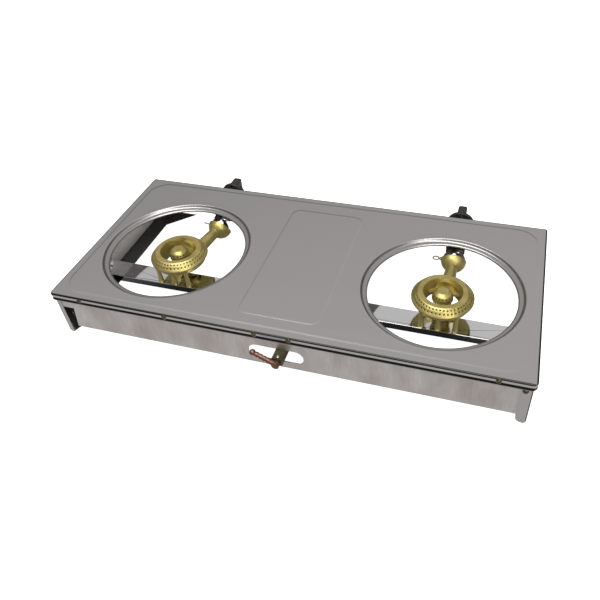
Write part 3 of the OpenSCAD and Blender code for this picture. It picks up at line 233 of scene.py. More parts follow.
def circle_loop(radius, centre, steps):
    """Points of a circle, counter-clockwise."""
    points = (on_circle(radius, step, steps) for step in range(steps))
    return [(centre[0] + x, centre[1] + y) for x, y in points]


def add_loop(bm, points, height):
    """Adds flat points as vertices at one height."""
    return [bm.verts.new((x, y, height)) for x, y in points]


def join_loops(bm, first, second):
    """Joins two loops of as many vertices with a band of faces."""
    count = len(first)
    for i in range(count):
        j = (i + 1) % count
        bm.faces.new((first[i], first[j], second[j], second[i]))


def close_loop(bm, loop, tip):
    """Closes a loop with a fan of faces to one vertex."""
    count = len(loop)
    for i in range(count):
        bm.faces.new((loop[i], loop[(i + 1) % count], tip))


def ease(share):
    """A smooth step from 0 to 1."""
    share = min(max(share, 0.0), 1.0)
    return share * share * (3.0 - 2.0 * share)


def lathe(bm, profile, place, axis_turn, steps):
    """Turns (radius, distance) points about +Z, then moves the result by a rotation and a place."""
    move = Matrix.Translation(place) @ axis_turn
    previous = None
    for radius, distance in profile:
        if radius == 0.0:
            close_loop(bm, previous, bm.verts.new(move @ Vector((0.0, 0.0, distance))))
            break
        points = (on_circle(radius, step, steps) for step in range(steps))
        ring = [bm.verts.new(move @ Vector((x, y, distance))) for x, y in points]
        if previous:
            join_loops(bm, previous, ring)
        previous = ring


def build_skirt(bm):
    """The skirt with its groove and rolled edge; gives back its innermost loop."""
    previous = None
    for inset, height in SKIRT_PROFILE:
        front_radius = max(FRONT_RADIUS - inset, LEAST_RADIUS)
        rear_radius = max(REAR_RADIUS - inset, LEAST_RADIUS)
        outline = rounded_loop(
            PLATE_HALF_X - inset, PLATE_HALF_Y - inset, front_radius, rear_radius
        )
        loop = add_loop(bm, outline, height)
        if previous:
            join_loops(bm, previous, loop)
        previous = loop
    return previous


def build_field_slope(bm, margin_loop):
    """The slope from the margin up to the field; gives back the field's border."""
    previous = margin_loop
    for extra in FIELD_LOOPS:
        half_x = PLATE_HALF_X - MARGIN_WIDTH + extra
        half_y = PLATE_HALF_Y - MARGIN_WIDTH + extra
        radius = FIELD_RADIUS + extra
        height = MARGIN_TOP + FIELD_RAISE * ease((FIELD_SLOPE_START - extra) / FIELD_SLOPE)
        loop = add_loop(bm, rounded_loop(half_x, half_y, radius, radius), height)
        join_loops(bm, previous, loop)
        previous = loop
    return previous


def build_panel(bm):
    """The raised panel between the openings; gives back its border in the field."""
    previous = None
    for extra in PANEL_LOOPS:
        half_x = PANEL_HALF_X + extra
        half_y = PANEL_HALF_Y + extra
        radius = PANEL_RADIUS + extra
        height = FIELD_TOP + PANEL_RAISE * ease((PANEL_SLOPE_START - extra) / PANEL_SLOPE)
        outline = rounded_loop(half_x, half_y, radius, radius, (0.0, PANEL_SHIFT_Y))
        loop = add_loop(bm, outline, height)
        if previous:
            join_loops(bm, loop, previous)
        else:
            bm.faces.new(loop)
        previous = loop
    return previous


def build_rim(bm, centre):
    """The drawn rim of a round opening; gives back its border in the field."""
    loops = [
        add_loop(bm, circle_loop(radius, centre, RIM_STEPS), FIELD_TOP + rise)
        for radius, rise in RIM_PROFILE
    ]
    for outer, inner in zip(loops, loops[1:]):
        join_loops(bm, outer, inner)
    return loops[0]


def build_top_plate():
    """The outer face of the top sheet: skirt, margin, field, panel and drawn rims."""
    bm = bmesh.new()
    borders = [build_field_slope(bm, build_skirt(bm)), build_panel(bm)]
    for side in (-1.0, 1.0):
        borders.append(build_rim(bm, (side * OPENING_X, OPENING_Y)))
    bm.verts.index_update()
    border_verts = [vert for border in borders for vert in border]
    outlines = [[vert.co.copy() for vert in border] for border in borders]
    for triangle in tessellate_polygon(outlines):
        bm.faces.new([border_verts[i] for i in triangle])
    return bm


def build_knob(bm, place):
    """A round skirt with a shallow dome and an upright grip with soft edges, facing -Y."""
    turn = Matrix.Rotation(math.radians(90.0), 4, "X")
    lathe(bm, KNOB_PROFILE, place, turn, KNOB_STEPS)
    previous = None
    move = Matrix.Translation(place) @ turn
    for distance, inset in GRIP_SECTIONS:
        corner = max(GRIP_RADIUS - inset, GRIP_LEAST_RADIUS)
        outline = rounded_loop(GRIP_HALF_WIDTH - inset, GRIP_HALF_LENGTH - inset, corner, corner)
        ring = [bm.verts.new(move @ Vector((x, y, distance))) for x, y in outline]
        if previous:
            join_loops(bm, previous, ring)
        previous = ring
    bm.faces.new(previous)


def build_cup(bm, place):
    """A shallow pressed dish with a rolled edge that a screw sits in, facing +Y or -Y."""
    turn = Matrix.Rotation(math.radians(-90.0 if place.y > 0 else 90.0), 4, "X")
    lathe(bm, CUP_PROFILE, place, turn, CUP_STEPS)


def build_spring(bm, low, high):
    """A wire coil along Y that fills the box between two corners, wound from its +Y end."""
    middle = (low + high) / 2
    coil_radius = (high.x - low.x) / 2 - WIRE_RADIUS
    travel = high.y - low.y - 2 * WIRE_RADIUS
    steps = COIL_TURNS * COIL_STEPS
    previous = None
    for step in range(steps + 1):
        x, z = on_circle(1.0, step, COIL_STEPS)
        outward = Vector((x, 0.0, z))
        along = high.y - WIRE_RADIUS - travel * step / steps
        centre = Vector((middle.x, along, middle.z)) + outward * coil_radius
        ring = []
        for side in range(WIRE_SIDES):
            out, across = on_circle(WIRE_RADIUS, side, WIRE_SIDES)
            ring.append(bm.verts.new(centre + outward * out + Vector((0.0, across, 0.0))))
        if previous:
            join_loops(bm, previous, ring)
        else:
            bm.faces.new(ring)
        previous = ring
    bm.faces.new(previous)


# Nodes

# Green and blue of a neutral tone, as shares of its red
WARMTH = (0.985, 0.975)


def add_node(tree, kind, **settings):
    """Adds a shader node and sets its properties."""
    made = tree.nodes.new(kind)
    for key, value in settings.items():
        setattr(made, key, value)
    return made


def feed(tree, value, target):
    """Links an input to another node's output, or sets it to a plain value."""
    if isinstance(value, bpy.types.NodeSocket):
        tree.links.new(value, target)
    else:
        target.default_value = value


def mix(tree, kind, share, first, second):
    """A blend of two colours or two numbers."""
    made = add_node(tree, "ShaderNodeMix", data_type=kind)
    feed(tree, share, made.inputs["Factor"])
    feed(tree, first, made.inputs["A"])
    feed(tree, second, made.inputs["B"])
    return made.outputs["Result"]


def span(tree, source, start, end, low=0.0, high=1.0):
    """Maps the way from start to end onto low to high, and holds it there beyond."""
    made = add_node(tree, "ShaderNodeMapRange")
    for label, value in (
        ("Value", source),
        ("From Min", start),
        ("From Max", end),
        ("To Min", low),
        ("To Max", high),
    ):
        feed(tree, value, made.inputs[label])
    return made.outputs["Result"]


def tone_ramp(tree, source, steps):
    """A nearly neutral colour ramp from (position, level) pairs."""
    made = add_node(tree, "ShaderNodeValToRGB")
    elements = made.color_ramp.elements
    elements[0].position = steps[0][0]
    elements[1].position = steps[-1][0]
    for position, level in steps[1:-1]:
        elements.new(position)
    for element, (position, level) in zip(elements, steps):
        element.color = (level, level * WARMTH[0], level * WARMTH[1], 1)
    tree.links.new(source, made.inputs["Fac"])
    return made.outputs["Color"]


def object_place(tree):
    """A point in the piece's own space."""
    return add_node(tree, "ShaderNodeTexCoord").outputs["Object"]


def vector_math(tree, operation, first, second=None, result="Vector"):
    """One step of vector arithmetic."""
    made = add_node(tree, "ShaderNodeVectorMath", operation=operation)
    feed(tree, first, made.inputs[0])
    if second is not None:
        feed(tree, second, made.inputs[1])
    return made.outputs[result]


def split(tree, vector):
    """The X, Y and Z outputs of a vector."""
    made = add_node(tree, "ShaderNodeSeparateXYZ")
    tree.links.new(vector, made.inputs["Vector"])
    return made.outputs


def place_noise(tree, stretch, scale, detail, roughness=0.5):
    """Noise fixed to the piece's own space, stretched along one way."""
    mapping = add_node(tree, "ShaderNodeMapping")
    tree.links.new(object_place(tree), mapping.inputs["Vector"])
    mapping.inputs["Scale"].default_value = stretch
    noise = add_node(tree, "ShaderNodeTexNoise")
    tree.links.new(mapping.outputs["Vector"], noise.inputs["Vector"])
    feed(tree, scale, noise.inputs["Scale"])
    noise.inputs["Detail"].default_value = detail
    noise.inputs["Roughness"].default_value = roughness
    return noise.outputs["Fac"]


# Shared effects for the finishes

# The stretch of a noise's range that tones and gloss follow
NOISE_LOW = 0.3
NOISE_HIGH = 0.7
# Noise that is stretched along no way
EVENLY = (1.0, 1.0, 1.0)
# How the two effects shape a surface, the depth in millimetres
SHEET_DEPTH = 0.02
CAST_ROUGHNESS = (0.34, 0.46)
GRAIN_SHARE = 0.6


def effect_group(name, extra_inputs):
    """A node group that turns two colours and some values into colour, roughness and height."""
    tree = bpy.data.node_groups.new(name, "ShaderNodeTree")
    colours = (
        ("Dark", "NodeSocketColor", (0.4, 0.4, 0.4, 1)),
        ("Light", "NodeSocketColor", (0.6, 0.6, 0.6, 1)),
    )
    for label, kind, value in colours + extra_inputs:
        made = tree.interface.new_socket(name=label, in_out="INPUT", socket_type=kind)
        made.default_value = value
    for label, kind in (
        ("Color", "NodeSocketColor"),
        ("Roughness", "NodeSocketFloat"),
        ("Height", "NodeSocketFloat"),
    ):
        tree.interface.new_socket(name=label, in_out="OUTPUT", socket_type=kind)
    given = tree.nodes.new("NodeGroupInput").outputs
    result = tree.nodes.new("NodeGroupOutput").inputs
    return tree, given, result


def sheet_effect(name, stretch, cloud_stretch=EVENLY, cloud_scale=7.0, streak_share=0.45):
    """Rolled sheet: fine streaks and slow clouds in tone, gloss and surface."""
    tree, given, result = effect_group(
        name, (("Gloss Low", "NodeSocketFloat", 0.2), ("Gloss High", "NodeSocketFloat", 0.4))
    )
    streaks = place_noise(tree, stretch, scale=60.0, detail=4.0, roughness=0.6)
    clouds = place_noise(tree, cloud_stretch, cloud_scale, detail=3.0, roughness=0.55)
    blend = mix(tree, "FLOAT", streak_share, clouds, streaks)
    share = span(tree, blend, NOISE_LOW, NOISE_HIGH)
    feed(tree, mix(tree, "RGBA", share, given["Dark"], given["Light"]), result["Color"])
    gloss = span(tree, streaks, NOISE_LOW, NOISE_HIGH, given["Gloss Low"], given["Gloss High"])
    feed(tree, gloss, result["Roughness"])
    feed(tree, streaks, result["Height"])
    return tree


def cast_effect(name):
    """Painted casting: slow clouds in tone and gloss over a finely pitted surface."""
    tree, given, result = effect_group(name, (("Grain", "NodeSocketFloat", 900.0),))
    clouds = place_noise(tree, EVENLY, scale=45.0, detail=4.0, roughness=0.6)
    grain = place_noise(tree, EVENLY, given["Grain"], detail=2.0)
    share = span(tree, clouds, NOISE_LOW, NOISE_HIGH)
    feed(tree, mix(tree, "RGBA", share, given["Dark"], given["Light"]), result["Color"])
    roughness = span(tree, clouds, NOISE_LOW, NOISE_HIGH, *CAST_ROUGHNESS)
    feed(tree, roughness, result["Roughness"])
    feed(tree, mix(tree, "FLOAT", GRAIN_SHARE, clouds, grain), result["Height"])
    return tree


ALONG_X = sheet_effect("rolled sheet along X", (0.06, 6.0, 6.0))
ALONG_Z = sheet_effect("rolled sheet upright", (6.0, 6.0, 0.1))
STAINED = sheet_effect(
    "stained sheet upright",
    (5.0, 5.0, 0.6),
    cloud_stretch=(1.0, 1.0, 0.45),
    cloud_scale=26.0,
    streak_share=0.3,
)
PITTED = cast_effect("painted casting")


def finish(name, effect, values, metallic, bump, depth, coat=0.0):
    """A material whose colour, gloss and surface come from a shared effect."""
    made = bpy.data.materials.new(name)
    made.use_nodes = True
    tree = made.node_tree
    shader = tree.nodes["Principled BSDF"]
    group = add_node(tree, "ShaderNodeGroup", node_tree=effect)
    for label, value in values.items():
        group.inputs[label].default_value = value
    tree.links.new(group.outputs["Color"], shader.inputs["Base Color"])
    tree.links.new(group.outputs["Roughness"], shader.inputs["Roughness"])
    raised = add_node(tree, "ShaderNodeBump")
    raised.inputs["Strength"].default_value = bump
    raised.inputs["Distance"].default_value = depth * MM
    tree.links.new(group.outputs["Height"], raised.inputs["Height"])
    tree.links.new(raised.outputs["Normal"], shader.inputs["Normal"])
    shader.inputs["Metallic"].default_value = metallic
    shader.inputs["Coat Weight"].default_value = coat
    return made


def sheet_finish(name, dark, light, gloss, effect=ALONG_X, bump=0.12, metallic=1.0):
    """Bare or plated sheet, from its two tones and its least and greatest roughness."""
    values = {
        "Dark": (*dark, 1.0),
        "Light": (*light, 1.0),
        "Gloss Low": gloss[0],
        "Gloss High": gloss[1],
    }
    return finish(name, effect, values, metallic, bump, SHEET_DEPTH)


def cast_finish(name, dark, light, grain, metallic, bump, depth, coat=0.0):
    """A painted or moulded surface, from its two tones and the fineness of its grain."""
    values = {"Dark": (*dark, 1.0), "Light": (*light, 1.0), "Grain": grain}
    return finish(name, PITTED, values, metallic, bump, depth, coat)


# Local tones on top of the finishes: painted reflections and painted shade on skirt, legs, flanges
# and rail, and the rims' own tone

# Painted reflections on the skirt, from its lower edge to the plate's top: sheet, painted dark
# reflection in the groove, painted bright reflection in the band, painted dark reflection on the
# rolled edge
SKIRT_PAINTED_REFLECTIONS = (
    (0.0, 0.45),
    (0.08, 0.40),
    (0.11, 0.03),
    (0.42, 0.03),
    (0.46, 0.62),
    (0.74, 0.70),
    (0.79, 0.25),
    (0.83, 0.03),
    (0.97, 0.04),
)
# How far in from the plate's edge the skirt's painted reflections reach, and where they have faded
SKIRT_DEPTH = 2.1
SKIRT_FADE = 3.1
# Painted shade, broken into streaks, on the inner faces of the legs under the plate, which starts
# between two depths behind the outer faces
LEG_PAINTED_SHADE = ((0.0, 0.015), (0.57, 0.025), (0.64, 0.40), (1.0, 0.5))
LEG_FACES = (346.6, 157.3, 0.0)
LEG_OUTER_DEPTH = 0.75
LEG_INNER_DEPTH = 0.95
# Tone and roughness of the rims of the round openings, and how far past them these fade
RIM_TONE = (0.43, 0.42, 0.41, 1.0)
RIM_GLOSS = 0.33
RIM_EDGE = 0.4
RIM_FADE = 1.6
# Heights below which folded sheet gets a painted dark reflection of the plate's shaded underside,
# and the height over which this painted shade fades
FLANGE_TOP = 15.9
FLANGE_PAINTED_SHADE = (0.045, 0.045, 0.045, 1.0)
RAIL_FACE_TOP = 30.7
RAIL_FACE_PAINTED_SHADE = (0.10, 0.10, 0.10, 1.0)
DARK_FADE = 0.5


def blend_into(tree, label, share, value):
    """Where the share is 1, a shader input takes the given value instead of its usual one."""
    target = tree.nodes["Principled BSDF"].inputs[label]
    usual = target.links[0].from_socket
    kind = "FLOAT" if target.type == "VALUE" else "RGBA"
    feed(tree, mix(tree, kind, share, usual, value), target)


def inset_from(tree, half_sizes):
    """How far a point lies inside the upright faces of a box about the origin, given in mm."""
    folded = vector_math(tree, "ABSOLUTE", object_place(tree))
    edges = tuple(size * MM for size in half_sizes)
    inset = split(tree, vector_math(tree, "SUBTRACT", edges, folded))
    nearest = add_node(tree, "ShaderNodeMath", operation="MINIMUM")
    tree.links.new(inset["X"], nearest.inputs[0])
    tree.links.new(inset["Y"], nearest.inputs[1])
    return nearest.outputs["Value"]


def paint_skirt_reflections(material):
    """Paints dark reflections into the groove and the rolled edge, and a bright painted reflection
    in the band between.
    """
    tree = material.node_tree
    inset = inset_from(tree, (PLATE_HALF_X, PLATE_HALF_Y, 0.0))
    on_skirt = span(tree, inset, SKIRT_FADE * MM, SKIRT_DEPTH * MM)
    height = split(tree, object_place(tree))["Z"]
    height_share = span(tree, height, SKIRT_BOTTOM * MM, PLATE_TOP * MM)
    blend_into(tree, "Base Color", on_skirt, tone_ramp(tree, height_share, SKIRT_PAINTED_REFLECTIONS))


def paint_shade_on_inner_faces(material):
    """Paints shade, broken into streaks, on the faces of the legs that look inwards, under the
    plate.
    """
    tree = material.node_tree
    inset = inset_from(tree, LEG_FACES)
    inner = span(tree, inset, LEG_OUTER_DEPTH * MM, LEG_INNER_DEPTH * MM)
    streaks = place_noise(tree, (6.0, 6.0, 1.2), scale=30.0, detail=3.0)
    blend_into(tree, "Base Color", inner, tone_ramp(tree, streaks, LEG_PAINTED_SHADE))


def paint_shade_below(material, level, tone):
    """Paints the dark reflection of the plate's shaded underside onto folded sheet, below one
    level.
    """
    tree = material.node_tree
    height = split(tree, object_place(tree))["Z"]
    below = span(tree, height, (level + DARK_FADE) * MM, level * MM)
    blend_into(tree, "Base Color", below, tone)


def polish_round_openings(material):
    """Tone and gloss of the drawn rims, found by the distance from the middle of each opening."""
    tree = material.node_tree
    place = split(tree, object_place(tree))
    either_side = add_node(tree, "ShaderNodeMath", operation="ABSOLUTE")
    tree.links.new(place["X"], either_side.inputs[0])
    flat = add_node(tree, "ShaderNodeCombineXYZ")
    tree.links.new(either_side.outputs["Value"], flat.inputs["X"])
    tree.links.new(place["Y"], flat.inputs["Y"])
    middle = (OPENING_X * MM, OPENING_Y * MM, 0.0)
    away = vector_math(tree, "DISTANCE", flat.outputs["Vector"], middle, "Value")
    on_rim = span(tree, away, (RIM_RADIUS + RIM_FADE) * MM, (RIM_RADIUS + RIM_EDGE) * MM)
    blend_into(tree, "Roughness", on_rim, RIM_GLOSS)
    blend_into(tree, "Base Color", on_rim, RIM_TONE)


# Finishes

plate_steel = sheet_finish(
    "satin top sheet", (0.525, 0.515, 0.51), (0.545, 0.535, 0.53), (0.28, 0.31), bump=0.02
)
polish_round_openings(plate_steel)
# Painted dark and bright reflections on the skirt
paint_skirt_reflections(plate_steel)
# Pressed dishes darkened as painted shade in the dimples round the screws, with a gold tint
dish_painted_shade = sheet_finish("pressed dish", (0.22, 0.19, 0.13), (0.34, 0.30, 0.20), (0.12, 0.2))
panel_steel = sheet_finish(
    "mill sheet", (0.53, 0.465, 0.445), (0.82, 0.80, 0.79), (0.30, 0.46), STAINED
)
end_steel = sheet_finish(
    "dull inner sheet", (0.42, 0.40, 0.385), (0.80, 0.78, 0.76), (0.25, 0.5), metallic=0.35
)
# Painted dark reflection on the flanges of the end panels
paint_shade_below(end_steel, FLANGE_TOP, FLANGE_PAINTED_SHADE)
leg_steel = sheet_finish(
    "pressed leg sheet", (0.56, 0.55, 0.54), (0.66, 0.65, 0.64), (0.28, 0.4), ALONG_Z
)
# Painted shade on the inner faces of the legs
paint_shade_on_inner_faces(leg_steel)
mirror_steel = sheet_finish(
    "bright rail", (0.74, 0.74, 0.75), (0.80, 0.80, 0.81), (0.05, 0.10), bump=0.05
)
# Painted dark reflection on the rail's lower face
paint_shade_below(mirror_steel, RAIL_FACE_TOP, RAIL_FACE_PAINTED_SHADE)
nickel = sheet_finish("bright nickel", (0.76, 0.75, 0.71), (0.84, 0.83, 0.80), (0.10, 0.2))
brass = sheet_finish("machined brass", (0.60, 0.46, 0.20), (0.70, 0.55, 0.27), (0.2, 0.34))
spring_wire = sheet_finish("spring wire", (0.5, 0.5, 0.52), (0.62, 0.62, 0.64), (0.2, 0.3))
turned_steel = sheet_finish("turned steel", (0.56, 0.55, 0.53), (0.68, 0.67, 0.65), (0.16, 0.28))
chrome = sheet_finish("bright chrome", (0.76, 0.76, 0.78), (0.82, 0.82, 0.84), (0.05, 0.1))
pipe_steel = sheet_finish("drawn pipe", (0.48, 0.45, 0.40), (0.60, 0.57, 0.52), (0.22, 0.36))
yellow_plating = sheet_finish(
    "yellow-plated screw", (0.10, 0.085, 0.06), (0.20, 0.175, 0.12), (0.2, 0.32)
)
white_plating = sheet_finish(
    "zinc-plated screw", (0.66, 0.64, 0.60), (0.78, 0.76, 0.72), (0.18, 0.3)
)
gold_paint = cast_finish(
    "gold burner paint", (0.40, 0.325, 0.105), (0.55, 0.46, 0.18), 700.0, 0.85, 0.25, 0.12
)
# Damper flaps darkened to near black as painted shade under the plate
flap_painted_shade = cast_finish(
    "flap in painted shade", (0.025, 0.02, 0.018), (0.05, 0.042, 0.038), 500.0, 0.4, 0.2, 0.1
)
wire_steel = cast_finish(
    "stained wire", (0.20, 0.19, 0.08), (0.34, 0.30, 0.16), 900.0, 0.8, 0.2, 0.05
)
copper_wire = cast_finish(
    "copper-toned wire", (0.42, 0.20, 0.16), (0.55, 0.30, 0.25), 900.0, 0.8, 0.2, 0.05
)
# Tap bodies darkened to near black as painted shade under the plate
tap_painted_shade = cast_finish(
    "tap casting in painted shade", (0.035, 0.033, 0.02), (0.075, 0.07, 0.045), 500.0, 0.35, 0.25, 0.12
)
knob_black = cast_finish(
    "black knob plastic",
    (0.010, 0.010, 0.011),
    (0.018, 0.018, 0.019),
    grain=1500.0,
    metallic=0.0,
    bump=0.12,
    depth=0.05,
    coat=0.15,
)
# Tap brackets darkened to near black as painted shade under the plate
bracket_painted_shade = cast_finish(
    "bracket in painted shade", (0.035, 0.033, 0.03), (0.07, 0.066, 0.06), 700.0, 0.2, 0.2, 0.1
)
inlet_paint = cast_finish(
    "olive inlet casting", (0.05, 0.042, 0.02), (0.10, 0.085, 0.045), 600.0, 0.55, 0.25, 0.1
)
nozzle_copper = cast_finish(
    "copper-brown nozzle", (0.13, 0.075, 0.05), (0.26, 0.14, 0.10), 900.0, 0.9, 0.15, 0.06
)

NODE_FINISHES = {
    "front_panel": panel_steel,
    "back_panel": panel_steel,
    "left_end_panel": end_steel,
    "right_end_panel": end_steel,
    "rear_left_leg": leg_steel,
    "rear_right_leg": leg_steel,
    "front_left_leg": leg_steel,
    "front_right_leg": leg_steel,
    "leg_screws": yellow_plating,
    "skirt_screws": yellow_plating,
    "burner_rail": mirror_steel,
    "rail_screws": white_plating,
    "burner_screws": white_plating,
    "bracket_screws": white_plating,
    "inlet_screw": white_plating,
    "left_damper_wire": copper_wire,
    "right_damper_wire": wire_steel,
    "manifold_tee": brass,
    "union_nut": brass,
    "tap_brackets": bracket_painted_shade,
    "front_manifold": pipe_steel,
    "feed_pipe": pipe_steel,
    "inlet_block": inlet_paint,
    "hose_nozzle": nozzle_copper,
}
PAIRED_FINISHES = {
    "burner_body": gold_paint,
    "ring_cover": gold_paint,
    "centre_cap": gold_paint,
    "damper_flap": flap_painted_shade,
    "injector": nickel,
    "tap_body": tap_painted_shade,
    "tap_plug": brass,
    "tap_cap": turned_steel,
    "spindle": turned_steel,
    "bezel": chrome,
}

# Width of the rounded edges in millimetres, where it isn't the usual one
USUAL_EDGE = 0.2
SOFT_EDGES = {
    "left_burner_body": 0.7,
    "right_burner_body": 0.7,
    "left_ring_cover": 0.05,
    "right_ring_cover": 0.05,
    "left_centre_cap": 0.12,
    "right_centre_cap": 0.12,
    "left_tap_body": 0.8,
    "right_tap_body": 0.8,
    "inlet_block": 0.6,
    "hose_nozzle": 0.3,
    "burner_rail": 0.35,
    "back_panel": 0.15,
    "front_panel": 0.25,
}
SAME_CORNER = 0.002
LEAST_EDGE_ANGLE = 32.0


def dress(name, material):
    """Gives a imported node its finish, joins its split corners and rounds its edges."""
    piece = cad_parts[name]
    piece.data.materials.clear()
    piece.data.materials.append(material)
    weld = piece.modifiers.new("join corners", "WELD")
    weld.merge_threshold = SAME_CORNER * MM
    bevel = piece.modifiers.new("soft edges", "BEVEL")
    bevel.width = SOFT_EDGES.get(name, USUAL_EDGE) * MM
    bevel.segments = 2
    bevel.limit_method = "ANGLE"
    bevel.angle_limit = math.radians(LEAST_EDGE_ANGLE)
    bevel.harden_normals = False
    bevel.use_clamp_overlap = True


for node_name, node_finish in NODE_FINISHES.items():
    dress(node_name, node_finish)
for node_name, node_finish in PAIRED_FINISHES.items():
    for side_name in SIDES:
        dress(side_name + "_" + node_name, node_finish)


# Finer pieces

top_sheet = new_piece("top_sheet", build_top_plate(), "frame", plate_steel)
thickness = top_sheet.modifiers.new("sheet thickness", "SOLIDIFY")
thickness.thickness = SHEET * MM
thickness.offset = -1.0
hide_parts("top_plate")

cup_mesh = bmesh.new()
for screw_x in SKIRT_SCREWS_X:
    build_cup(cup_mesh, Vector((screw_x, PLATE_HALF_Y, SKIRT_SCREW_Z)))
for end in (1.0, -1.0):
    build_cup(cup_mesh, Vector((-end * LEG_SCREW_X, end * LEG_FACE_Y, LEG_SCREW_Z)))
screw_dishes = new_piece("screw_dishes", cup_mesh, "frame", dish_painted_shade)

for side_name, tap_x in zip(SIDES, TAPS_X):
    knob_mesh = bmesh.new()
    back_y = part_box(side_name + "_knob")[1].y / MM
    build_knob(knob_mesh, Vector((tap_x, back_y, SPINDLE_Z)))
    knob = new_piece(side_name + "_knob_form", knob_mesh, side_name + "_control", knob_black)
    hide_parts(side_name + "_knob")

    spring_mesh = bmesh.new()
    spring_low, spring_high = (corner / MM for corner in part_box(side_name + "_tap_spring"))
    build_spring(spring_mesh, spring_low, spring_high)
    spring = new_piece(side_name + "_spring_form", spring_mesh, side_name + "_plug", spring_wire)
    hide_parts(side_name + "_tap_spring")
    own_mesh(spring)


# Floor, camera and light

FLOOR_REACH = 9.0
FLOOR_TONE = (0.86, 0.86, 0.86, 1)
FLOOR_GLOW = 0.95
# What the steel mirrors of the floor, by distance from the middle with X counted short
FLOOR_SQUASH = (0.45, 1.0, 0.0)
FLOOR_MIRRORED = ((0.0, 0.10), (0.13, 0.12), (0.17, 0.5), (0.45, 0.52), (0.75, 0.08), (1.0, 0.04))
# What the steel mirrors of the studio, by height from the horizon to straight up
STUDIO_TONES = (
    (0.0, 0.06),
    (0.05, 0.08),
    (0.3, 0.14),
    (0.5, 0.55),
    (0.7, 0.59),
    (0.85, 0.52),
    (1.0, 0.38),
)
# The studio is a little brighter towards -X than towards +X
STUDIO_SIDES = (-0.15, 0.5)
STUDIO_SIDE_LEVELS = (1.09, 0.95)

CAMERA_PLACE = (-0.27299, 0.66160, 0.67829)
CAMERA_LOOK = (0.243364, -0.716754, -0.653482)
CAMERA_ROLL = -3.64
CAMERA_SHIFT = (-0.0605, -0.0537)
FOCAL_LENGTH = 36.53
SENSOR_WIDTH = 36.0
NEAR_AND_FAR = (0.02, 60.0)

# Name, place, target, width, depth and watts
LAMPS = (
    ("overhead softbox", (0.1, 0.5, 1.7), (0.0, 0.1, 0.0), 1.6, 1.2, 26.0),
    ("camera side softbox", (-1.2, 1.5, 1.3), (0.0, 0.0, 0.05), 1.0, 1.0, 12.0),
)


def choose(tree, share, usual, other, output):
    """Shows the other shader where the share is 1."""
    choice = add_node(tree, "ShaderNodeMixShader")
    tree.links.new(share, choice.inputs["Fac"])
    tree.links.new(usual, choice.inputs[1])
    tree.links.new(other, choice.inputs[2])
    tree.links.new(choice.outputs["Shader"], tree.nodes[output].inputs["Surface"])


def floor_finish():
    """Pale floor, which the steel mirrors as a soft grey pool that ends in the dark."""
    material = bpy.data.materials.new("pale floor")
    material.use_nodes = True
    tree = material.node_tree
    shader = tree.nodes["Principled BSDF"]
    shader.inputs["Base Color"].default_value = FLOOR_TONE
    shader.inputs["Roughness"].default_value = 0.85
    shader.inputs["Specular IOR Level"].default_value = 0.2
    shader.inputs["Emission Color"].default_value = (1, 1, 1, 1)
    shader.inputs["Emission Strength"].default_value = FLOOR_GLOW
    position = add_node(tree, "ShaderNodeNewGeometry").outputs["Position"]
    squashed = vector_math(tree, "MULTIPLY", position, FLOOR_SQUASH)
    away = vector_math(tree, "LENGTH", squashed, result="Value")
    glow = add_node(tree, "ShaderNodeEmission")
    tree.links.new(tone_ramp(tree, away, FLOOR_MIRRORED), glow.inputs["Color"])
    mirrored = add_node(tree, "ShaderNodeLightPath").outputs["Is Glossy Ray"]
    choose(tree, mirrored, shader.outputs["BSDF"], glow.outputs["Emission"], "Material Output")
    return material


def stage_floor():
    """A wide flat floor under the stove."""
    mesh = bpy.data.meshes.new("floor")
    corners = [
        (-FLOOR_REACH, -FLOOR_REACH, 0),
        (FLOOR_REACH, -FLOOR_REACH, 0),
        (FLOOR_REACH, FLOOR_REACH, 0),
        (-FLOOR_REACH, FLOOR_REACH, 0),
    ]
    mesh.from_pydata(corners, [], [(0, 1, 2, 3)])
    floor = bpy.data.objects.new("floor", mesh)
    bpy.context.scene.collection.objects.link(floor)
    mesh.materials.append(floor_finish())


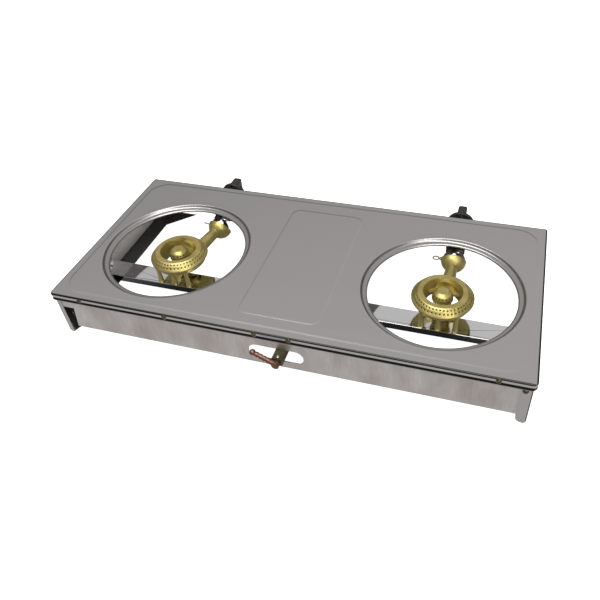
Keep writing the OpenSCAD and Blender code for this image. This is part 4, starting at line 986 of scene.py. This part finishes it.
def stage_camera():
    """The camera stands behind the stove, as in the photograph, with a small roll and shift."""
    lens = bpy.data.cameras.new("camera")
    camera = bpy.data.objects.new("camera", lens)
    bpy.context.scene.collection.objects.link(camera)
    camera.location = CAMERA_PLACE
    camera.rotation_mode = "QUATERNION"
    roll = Quaternion((0.0, 0.0, 1.0), math.radians(CAMERA_ROLL))
    camera.rotation_quaternion = Vector(CAMERA_LOOK).to_track_quat("-Z", "Y") @ roll
    lens.sensor_width = SENSOR_WIDTH
    lens.lens = FOCAL_LENGTH
    lens.shift_x, lens.shift_y = CAMERA_SHIFT
    lens.clip_start, lens.clip_end = NEAR_AND_FAR
    bpy.context.scene.camera = camera


def stage_lamp(name, place, target, width, depth, watts):
    """A rectangular soft light that faces its target."""
    lamp = bpy.data.lights.new(name, "AREA")
    lamp.shape = "RECTANGLE"
    lamp.size = width
    lamp.size_y = depth
    lamp.energy = watts
    holder = bpy.data.objects.new(name, lamp)
    bpy.context.scene.collection.objects.link(holder)
    holder.location = place
    holder.rotation_mode = "QUATERNION"
    holder.rotation_quaternion = (Vector(target) - Vector(place)).to_track_quat("-Z", "Y")


def stage_world():
    """A studio that lights and mirrors in soft bands, and that the camera sees as white."""
    world = bpy.data.worlds.new("studio")
    bpy.context.scene.world = world
    world.use_nodes = True
    tree = world.node_tree
    studio = tree.nodes["Background"]
    way = split(tree, add_node(tree, "ShaderNodeTexCoord").outputs["Generated"])
    tree.links.new(tone_ramp(tree, way["Z"], STUDIO_TONES), studio.inputs["Color"])
    side_level = span(tree, way["X"], *STUDIO_SIDES, *STUDIO_SIDE_LEVELS)
    tree.links.new(side_level, studio.inputs["Strength"])
    white = add_node(tree, "ShaderNodeBackground")
    white.inputs["Color"].default_value = (1.0, 1.0, 1.0, 1.0)
    seen = add_node(tree, "ShaderNodeLightPath").outputs["Is Camera Ray"]
    backgrounds = (studio.outputs["Background"], white.outputs["Background"])
    choose(tree, seen, *backgrounds, "World Output")


stage_floor()
stage_camera()
stage_world()
for lamp_settings in LAMPS:
    stage_lamp(*lamp_settings)
bpy.context.scene.view_settings.view_transform = "Standard"
